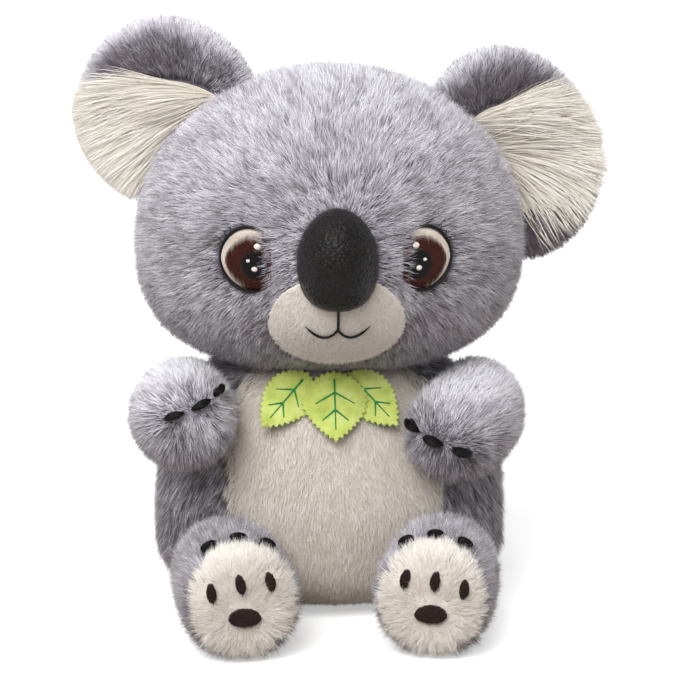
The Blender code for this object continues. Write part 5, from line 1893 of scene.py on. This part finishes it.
@dataclass
class Leg:
    """One stuffed leg with its pile, its white sole, its toe and pad marks and its toe claws."""

    side: Side
    heading: float
    length: float = 0.054
    thigh_radius: float = 0.0245
    foot_radius: float = 0.0255
    foot_power: float = 4.5
    bluntness: float = 0.60
    sole_radius: float = 0.0226
    pile_half_width: float = 0.0205
    pile_half_height: float = 0.0215
    pile_lift: float = 0.0020
    roll: float = 8.5
    toe_out: float = 0.0128
    toe_side_lift: float = 0.0098
    toe_middle_lift: float = 0.0112
    toe_half_width: float = 0.0021
    toe_half_height: float = 0.0045
    pad_half_width: float = 0.0070
    pad_half_height: float = 0.0042
    pad_drop: float = 0.0036
    claw_half_length: float = 0.0041
    claw_half_width: float = 0.0016
    claw_fan: float = 29
    claw_forward: float = 0.40
    strands: int = 60000
    sole_strands: int = 20000
    pile: Pile = Pile()
    sole_pile: Pile = Pile(
        length=0.0072,
        width=0.00030,
        lean=64,
        spread=18,
        tuft_strands=20,
        tuft_pull=0.24,
        tuft_turn=14,
        depth=0.0022,
    )

    def form(self) -> Limb:
        """Return the leg's form, rooted on its joint."""
        sign = self.side.value
        root = joint_place(f"leg_{self.side.label}_splay")
        heading = math.radians(self.heading)
        way = np.array((sign * math.sin(heading), -math.cos(heading), 0.0))
        return Limb(
            root,
            root + way * self.length,
            np.zeros(3),
            self.thigh_radius,
            self.foot_radius,
            self.foot_power,
            self.bluntness,
        )

    def mark_spots(self) -> list[tuple[str, SatinOval, Spot]]:
        """Return the node, the stitches and the place of each mark on the sole."""
        form, sign, label = self.form(), self.side.value, self.side.label
        _, side, above = form.tip_axes()
        turn = math.radians(-sign * self.roll)

        def spot(across: float, lift: float, turn: float) -> Spot:
            """Return a spot on the sole at distances beside and above its middle, turned about it."""
            u = across * math.cos(turn) - lift * math.sin(turn)
            v = across * math.sin(turn) + lift * math.cos(turn)
            level = side * math.cos(turn) + above * math.sin(turn)
            return Spot(form, form.end_direction(u, v), level)

        toe_halves = (self.toe_half_width, self.toe_half_height)
        pad_halves = (self.pad_half_width, self.pad_half_height)
        toe = SatinOval(*toe_halves, StitchWay.ACROSS, 0.0010, 0.0009, ragged=0.10)
        pad = SatinOval(*pad_halves, StitchWay.ACROSS, 0.0012, 0.0009, ragged=0.07)
        lifts = (self.toe_side_lift, self.toe_middle_lift, self.toe_side_lift)
        marks = [
            (f"toe_mark_{label}_{step + 2}", toe, spot(step * self.toe_out, lift, turn))
            for step, lift in zip((-1, 0, 1), lifts)
        ]
        return marks + [(f"pad_mark_{label}", pad, spot(0.0, -self.pad_drop, 0.0))]

    def claw_spots(self) -> list[Spot]:
        """Return where the toe claws are stitched, over the toes."""
        form = self.form()
        spots = []
        for step in (-1, 0, 1):
            angle = math.radians(self.claw_fan) * step
            direction = unit(np.array((math.sin(angle), math.cos(angle), self.claw_forward)))
            away = form.place(direction[None])[0] - form.tip
            spots.append(Spot(form, direction, unit(np.cross(away, form.tip_axes()[0]))))
        return spots

    def build(self, koala: Koala) -> None:
        """Build the leg's cloth, its pile, its sole, its marks and its claws."""
        form, label = self.form(), self.side.label
        body = f"leg_{label}"
        nodes = (f"leg_{label}_cover", f"leg_{label}_filling", f"sole_{label}")
        skin = add_skin(f"leg_{label}_skin", form, self.pile.depth, body, *nodes)
        rng = np.random.default_rng(100 + self.side.value)
        roots, normals = skin.scatter(self.strands, rng)
        heading = form.tip_axes()[0]
        grey = ~koala.body.encloses(roots, -0.003) & (roots[:, 2] > 0.0008) & ~self.on_sole(roots)
        combs = unit(roots - form.tip - heading * self.foot_radius) - UP * 0.10
        lengths = cleared(roots, self.claw_spots(), 0.25, 0.0045, 0.0095)
        # Painted shade: the legs' grey pile is darker all over, for the shade low down round the feet.
        tones = pile_tones(roots, normals, 15) - 0.34
        roots, normals, combs, lengths, tones = (
            values[grey] for values in (roots, normals, combs, lengths, tones)
        )
        strands = grow(roots, normals, combs, self.pile, 102 + self.side.value, lengths, tones)
        add_pile(f"leg_{label}_pile", strands, GREY_PILE, body, "grey_plush")
        self.build_sole(skin)
        halves = (self.claw_half_length, self.claw_half_width)
        oval = SatinOval(*halves, StitchWay.ALONG, rise=0.0016, lift=0.0020)
        for order, spot in enumerate(self.claw_spots(), 1):
            node = f"toe_claw_{label}_{order}"
            add_satin(node, oval, spot, BLACK_THREAD, body, "black_thread", 110 + order)
        for order, (node, mark, spot) in enumerate(self.mark_spots()):
            add_satin(node, mark, spot, MARK_THREAD, body, "brown_thread", 120 + order)

    def on_sole(self, points: np.ndarray) -> np.ndarray:
        """Return which points lie on the sole's white round."""
        form = self.form()
        heading, side, above = form.tip_axes()
        offset = points - form.tip
        x = offset @ side / self.pile_half_width
        y = (offset @ above - self.pile_lift) / self.pile_half_height
        return (offset @ heading > 0) & (np.hypot(x, y) + ripple(points, 0.005, 14) * 0.03 < 1)

    def build_sole(self, skin: Skin) -> None:
        """Build the sole's white cloth and its pile."""
        form, label = self.form(), self.side.label
        turns, rings = 48, 14
        angles = np.arange(turns) * (2 * math.pi / turns)
        shares = np.linspace(1.0, 0.02, rings)
        u, v = np.cos(angles), np.sin(angles)
        directions = []
        for share in shares:
            away = share * self.sole_radius / self.foot_radius
            forward = (1 - away**self.foot_power) ** (1 / self.foot_power)
            directions.append(np.stack((u * away, v * away, np.full(turns, forward)), 1))
        level = form.grown(-self.sole_pile.depth + 0.0002)
        points = level.place(unit(np.concatenate(directions)))
        points[:turns] -= form.tip_axes()[0] * 0.0012
        points[:, 2] = np.maximum(points[:, 2], GROUND_CLEARANCE)
        faces = ring_faces(turns, rings)
        add_cloth(f"sole_{label}_skin", points, faces, WHITE_BACKING, f"leg_{label}", "white_plush")
        rng = np.random.default_rng(130 + self.side.value)
        roots, normals = skin.scatter(self.sole_strands * 5, rng)
        _, side, above = form.tip_axes()
        offset = roots - form.tip
        x, y = offset @ side, offset @ above
        keep = self.on_sole(roots) & (roots[:, 2] > 0.0008)
        roots, normals, x, y = roots[keep], normals[keep], x[keep], y[keep]
        combs = side * (x * 45)[:, None] + above * (y * 45 + 0.15)[:, None]
        lengths = 0.75 + 0.15 * smooth_step(y, 0.0, 0.016)
        lengths = lengths * cleared(roots, self.claw_spots(), 0.55, 0.004, 0.008)
        for _, oval, spot in self.mark_spots():
            near = max(oval.half_u, oval.half_v)
            lengths = lengths * cleared(roots, [spot], 0.45, near * 0.7, near * 1.6)
        # Painted light from above: the sole's pile is lighter towards its top.
        tones = 0.55 + 0.12 * ripple(roots, 0.010, 16) + 0.10 * y / self.sole_radius
        strands = grow(roots, normals, combs, self.sole_pile, 132 + self.side.value, lengths, tones)
        add_pile(f"sole_{label}_pile", strands, WHITE_PILE, f"leg_{label}", "white_plush")


@dataclass
class Leaves:
    """Three felt leaves under the chin, with pinked edges and stitched veins."""

    length: float = 0.031
    half_width: float = 0.0140
    side_half_width: float = 0.0105
    thickness: float = 0.0012
    pink_pitch: float = 0.0026
    pink_depth: float = 0.0014
    root_level: float = 0.1105
    chest_gap: float = 0.0050
    tilt: float = 28
    layer_gap: float = 0.0010
    right_out: float = 0.0120
    left_out: float = 0.0070
    fan: float = 40
    widest_power: float = 0.75
    roundness_power: float = 0.8
    cup: float = 0.0016
    vein_radius: float = 0.00042

    def outline(self, half_width: float, count: int) -> tuple[np.ndarray, np.ndarray]:
        """Return a leaf's pinked outline as distances beside its middle line and down from its root."""
        turn = np.linspace(0, 2 * math.pi, count, endpoint=False)
        share = (1 - np.cos(turn)) / 2
        x = half_width * np.sin(math.pi * share**self.widest_power) ** self.roundness_power
        x = x * np.sign(np.sin(turn))
        y = share * self.length
        step = np.hypot(np.diff(x, append=x[:1]), np.diff(y, append=y[:1]))
        run = np.cumsum(step)
        teeth = round(run[-1] / self.pink_pitch)
        phase = run / run[-1] * teeth
        tooth = np.abs(2 * (phase % 1) - 1) * self.pink_depth
        along = np.stack((np.gradient(x), np.gradient(y)), 1)
        out = unit(np.stack((along[:, 1], -along[:, 0]), 1))
        return x + out[:, 0] * tooth, y + out[:, 1] * tooth

    def bowed(
        self, x: np.ndarray, y: np.ndarray, height: np.ndarray, fan: float, shift: np.ndarray
    ) -> np.ndarray:
        """Return the leaf's points in the world, bowed as felt that was cut and hung.

        Args:
            x: the distances beside the leaf's middle line.
            y: the distances down from its root.
            height: the heights over the flat felt.
            fan: how far the leaf is turned from straight down, in radians.
            shift: where its root is.

        Returns:
            The points.
        """
        tilt = math.radians(self.tilt)
        down = np.array((0.0, -math.sin(tilt), -math.cos(tilt)))
        out = np.array((0.0, -math.cos(tilt), math.sin(tilt)))
        beside = np.array((1.0, 0.0, 0.0))
        along = down * math.cos(fan) + beside * math.sin(fan)
        across = np.cross(out, along)
        curl = self.cup * ((y / self.length) ** 2 * 1.4 - (x / self.half_width) ** 2)
        lift = height + curl
        return shift + across * x[:, None] + along * y[:, None] + out * lift[:, None]

    def build(self) -> None:
        """Build the three leaves with their veins."""
        root = joint_place("side_leaves_lift")
        tilt = math.radians(self.tilt)
        out = np.array((0.0, -math.cos(tilt), math.sin(tilt)))
        sides = (
            ("right", "side_leaves", self.side_half_width, -math.radians(self.fan), -self.right_out, 0.0),
            ("left", "side_leaves", self.side_half_width, math.radians(self.fan), self.left_out, 0.0),
            ("centre", "centre_leaf", self.half_width, 0.0, 0.0, self.thickness + self.layer_gap),
        )
        for word, body, half_width, fan, x, lift in sides:
            shift = root + np.array((x, 0.0, 0.0)) + out * lift
            self.build_leaf(word, body, half_width, fan, shift)

    def build_leaf(self, word: str, body: str, half_width: float, fan: float, shift: np.ndarray) -> None:
        """Build one leaf and its veins."""
        count, rings = 288, 12
        x, y = self.outline(half_width, count)
        middle = self.length * 0.52
        shares = np.linspace(1, 0.04, rings) ** 0.8
        shares[0] = 1
        xs = (x * shares[:, None]).ravel()
        ys = (middle + (y - middle) * shares[:, None]).ravel()
        layers = []
        for sign in (1, -1):
            edge = np.repeat(np.where(np.arange(rings) == 0, 0.8, 1.0), count)
            height = np.full(len(xs), sign * self.thickness / 2) * edge
            height = height + 0.00012 * ripple(np.stack((xs, ys, height), 1), 0.004, 17)
            layers.append(self.bowed(xs, ys, height, fan, shift))
        points = np.vstack(layers)
        index, top = ring_walls(count, rings)
        turned = np.roll(index, -1, axis=1)
        under = top[:, ::-1] + count * rings
        wall = np.stack((index[0], index[0] + count * rings, turned[0] + count * rings, turned[0]), -1)
        caps = [index[-1].tolist(), (index[-1, ::-1] + count * rings).tolist()]
        faces = top.tolist() + under.tolist() + wall.tolist() + caps
        name = f"leaf_{word}_felt"
        mesh = mesh_from(name, points, faces)
        work = bmesh.new()
        work.from_mesh(mesh)
        bmesh.ops.recalc_face_normals(work, faces=work.faces)
        work.to_mesh(mesh)
        work.free()
        made = dress(add_object(name, mesh, LEAF_FELT.material()), body, "green_felt", f"leaf_{word}")
        veins = self.build_veins(word, body, half_width, fan, shift)

    def build_veins(
        self, word: str, body: str, half_width: float, fan: float, shift: np.ndarray
    ) -> bpy.types.Object:
        """Build the threads of a leaf's veins and return them as one piece."""
        steps = 14
        share = np.linspace(0, 1, steps)
        runs = [(np.zeros(steps), self.length * (0.10 + 0.76 * share))]
        for start in (0.30, 0.56):
            wide = half_width * (0.62 if start < 0.5 else 0.42)
            for sign in (-1, 1):
                runs.append((sign * wide * share, self.length * start + 0.0050 * share))
        paths, widths = [], []
        for x, y in runs:
            height = np.full(steps, self.thickness / 2 + 0.0002)
            paths.append(self.bowed(x, y, height, fan, shift))
            widths.append(self.vein_radius * 2 * (1.1 - 0.55 * share))
        tilt = math.radians(self.tilt)
        up = np.array((0.0, -math.cos(tilt), math.sin(tilt)))
        paths, widths = np.stack(paths), np.stack(widths)
        points, faces = tubes(paths, np.broadcast_to(up, paths.shape), widths, widths * 0.8, 8)
        name = f"leaf_{word}_veins"
        made = add_object(name, mesh_from(name, points, faces), GREEN_THREAD.material())
        return dress(made, body, "green_thread", f"veins_{word}")


@dataclass
class Studio:
    """The floor, the lights and the camera."""

    azimuth: float = -3
    elevation: float = 12
    distance: float = 1.2
    target: tuple[float, float, float] = (0.005, 0.0, 0.117)
    view_width: float = 0.3162
    sensor_mm: float = 36
    floor_size: float = 12.0
    world_strength: float = 0.58
    sun_power: float = 3.1
    sun_soft_degrees: float = 45
    sun_azimuth: float = -27
    sun_elevation: float = 48

    def build(self) -> None:
        """Build the floor, the lights, the world and the camera."""
        self.build_floor()
        self.build_world()
        self.build_sun()
        self.build_camera()
        bpy.context.scene.view_settings.view_transform = "Standard"

    def build_floor(self) -> None:
        """Build the white sweep that the toy sits on."""
        half = self.floor_size / 2
        points = np.array(((-half, -half, 0), (half, -half, 0), (half, half, 0), (-half, half, 0)))
        finish = StudioFloor("paper_sweep_white", "#EDEDED", "#A79E98", 0.45)
        floor = add_object("floor", mesh_from("floor", points, [[0, 1, 2, 3]]), finish.material())

    def build_world(self) -> None:
        """Build a world that is white to the camera and in reflections, and grey as a light."""
        world = bpy.data.worlds.new("studio")
        bpy.context.scene.world = world
        world.use_nodes = True
        tree = world.node_tree
        tree.nodes.clear()
        seen = seen_directly(tree)
        strength = add_node(
            tree, "MapRange", {"To Min": self.world_strength, "To Max": 1.0}, {"Value": seen}
        )
        shade = add_node(
            tree, "Background", {"Color": linear("#FFFFFF")}, {"Strength": strength.outputs["Result"]}
        )
        add_node(tree, "OutputWorld", {}, {"Surface": shade.outputs[0]})

    def build_sun(self) -> None:
        """Build the wide soft light from above and in front."""
        data = bpy.data.lights.new("softbox", "SUN")
        data.energy = self.sun_power
        data.angle = math.radians(self.sun_soft_degrees)
        sun = bpy.data.objects.new("softbox", data)
        bpy.context.scene.collection.objects.link(sun)
        back = self.way(self.sun_azimuth, self.sun_elevation)
        sun.rotation_mode = "QUATERNION"
        sun.rotation_quaternion = Vector(-back).to_track_quat("-Z", "Y")

    def build_camera(self) -> None:
        """Build the camera at the photograph's angle."""
        data = bpy.data.cameras.new("camera")
        data.sensor_width = self.sensor_mm
        data.lens = self.sensor_mm * self.distance / self.view_width
        camera = bpy.data.objects.new("camera", data)
        bpy.context.scene.collection.objects.link(camera)
        back = self.way(self.azimuth, self.elevation)
        camera.location = Vector(np.array(self.target) + back * self.distance)
        camera.rotation_mode = "QUATERNION"
        camera.rotation_quaternion = Vector(-back).to_track_quat("-Z", "Y")
        bpy.context.scene.camera = camera

    @staticmethod
    def way(azimuth: float, elevation: float) -> np.ndarray:
        """Return the direction from the toy at an azimuth from its front and an elevation."""
        turn, rise = math.radians(azimuth), math.radians(elevation)
        return np.array(
            (math.sin(turn) * math.cos(rise), -math.cos(turn) * math.cos(rise), math.sin(rise))
        )


def main() -> None:
    """Build the toy's sub-assemblies in order, then the studio."""
    logging.basicConfig(level=logging.INFO, format="%(name)s: %(message)s")
    arms = (
        Arm(Side.RIGHT, heading=2, climb=2, bend=0.003, claw_out=14.5, claw_climb=23),
        Arm(Side.LEFT, heading=-16, climb=-8, bend=0.008, claw_out=1.5, claw_climb=5),
    )
    legs = (Leg(Side.RIGHT, heading=-7), Leg(Side.LEFT, heading=-10.5))
    ears = (
        Ear(
            Side.RIGHT,
            half_span=0.0415,
            half_reach=0.0420,
            distance=0.0945,
            angle=38.7,
            stream=(-1.0, 0.0, -0.30),
            fan=0.25,
            fall=0.45,
            band_shade=0.24,
            low_shade=0.30,
            low_sparse=0.0,
            cream_span=-0.033,
            cream_reach=-0.0245,
            cream_radius=0.055,
        ),
        Ear(
            Side.LEFT,
            half_span=0.0510,
            half_reach=0.0415,
            distance=0.0925,
            angle=25,
            stream=(1.0, 0.0, -0.10),
            fan=0.35,
            fall=1.7,
            band_shade=0.44,
            low_shade=0.55,
            low_sparse=0.965,
            cream_span=0.001,
            cream_reach=-0.004,
            cream_radius=0.0265,
        ),
    )
    head, torso, eyes, nose = Head(), Torso(), Eyes(), Nose()
    koala = Koala(
        head.form(),
        torso.form(),
        {arm.side: arm.form() for arm in arms},
        {leg.side: leg.form() for leg in legs},
    )
    head.build(eyes, nose)
    nose.build()
    Mouth().build()
    eyes.build()
    for ear in ears:
        ear.build()
    torso.build(koala)
    for limb in (*arms, *legs):
        limb.build(koala)
    Leaves().build()
    Studio().build()


if __name__ == "__main__":
    main()
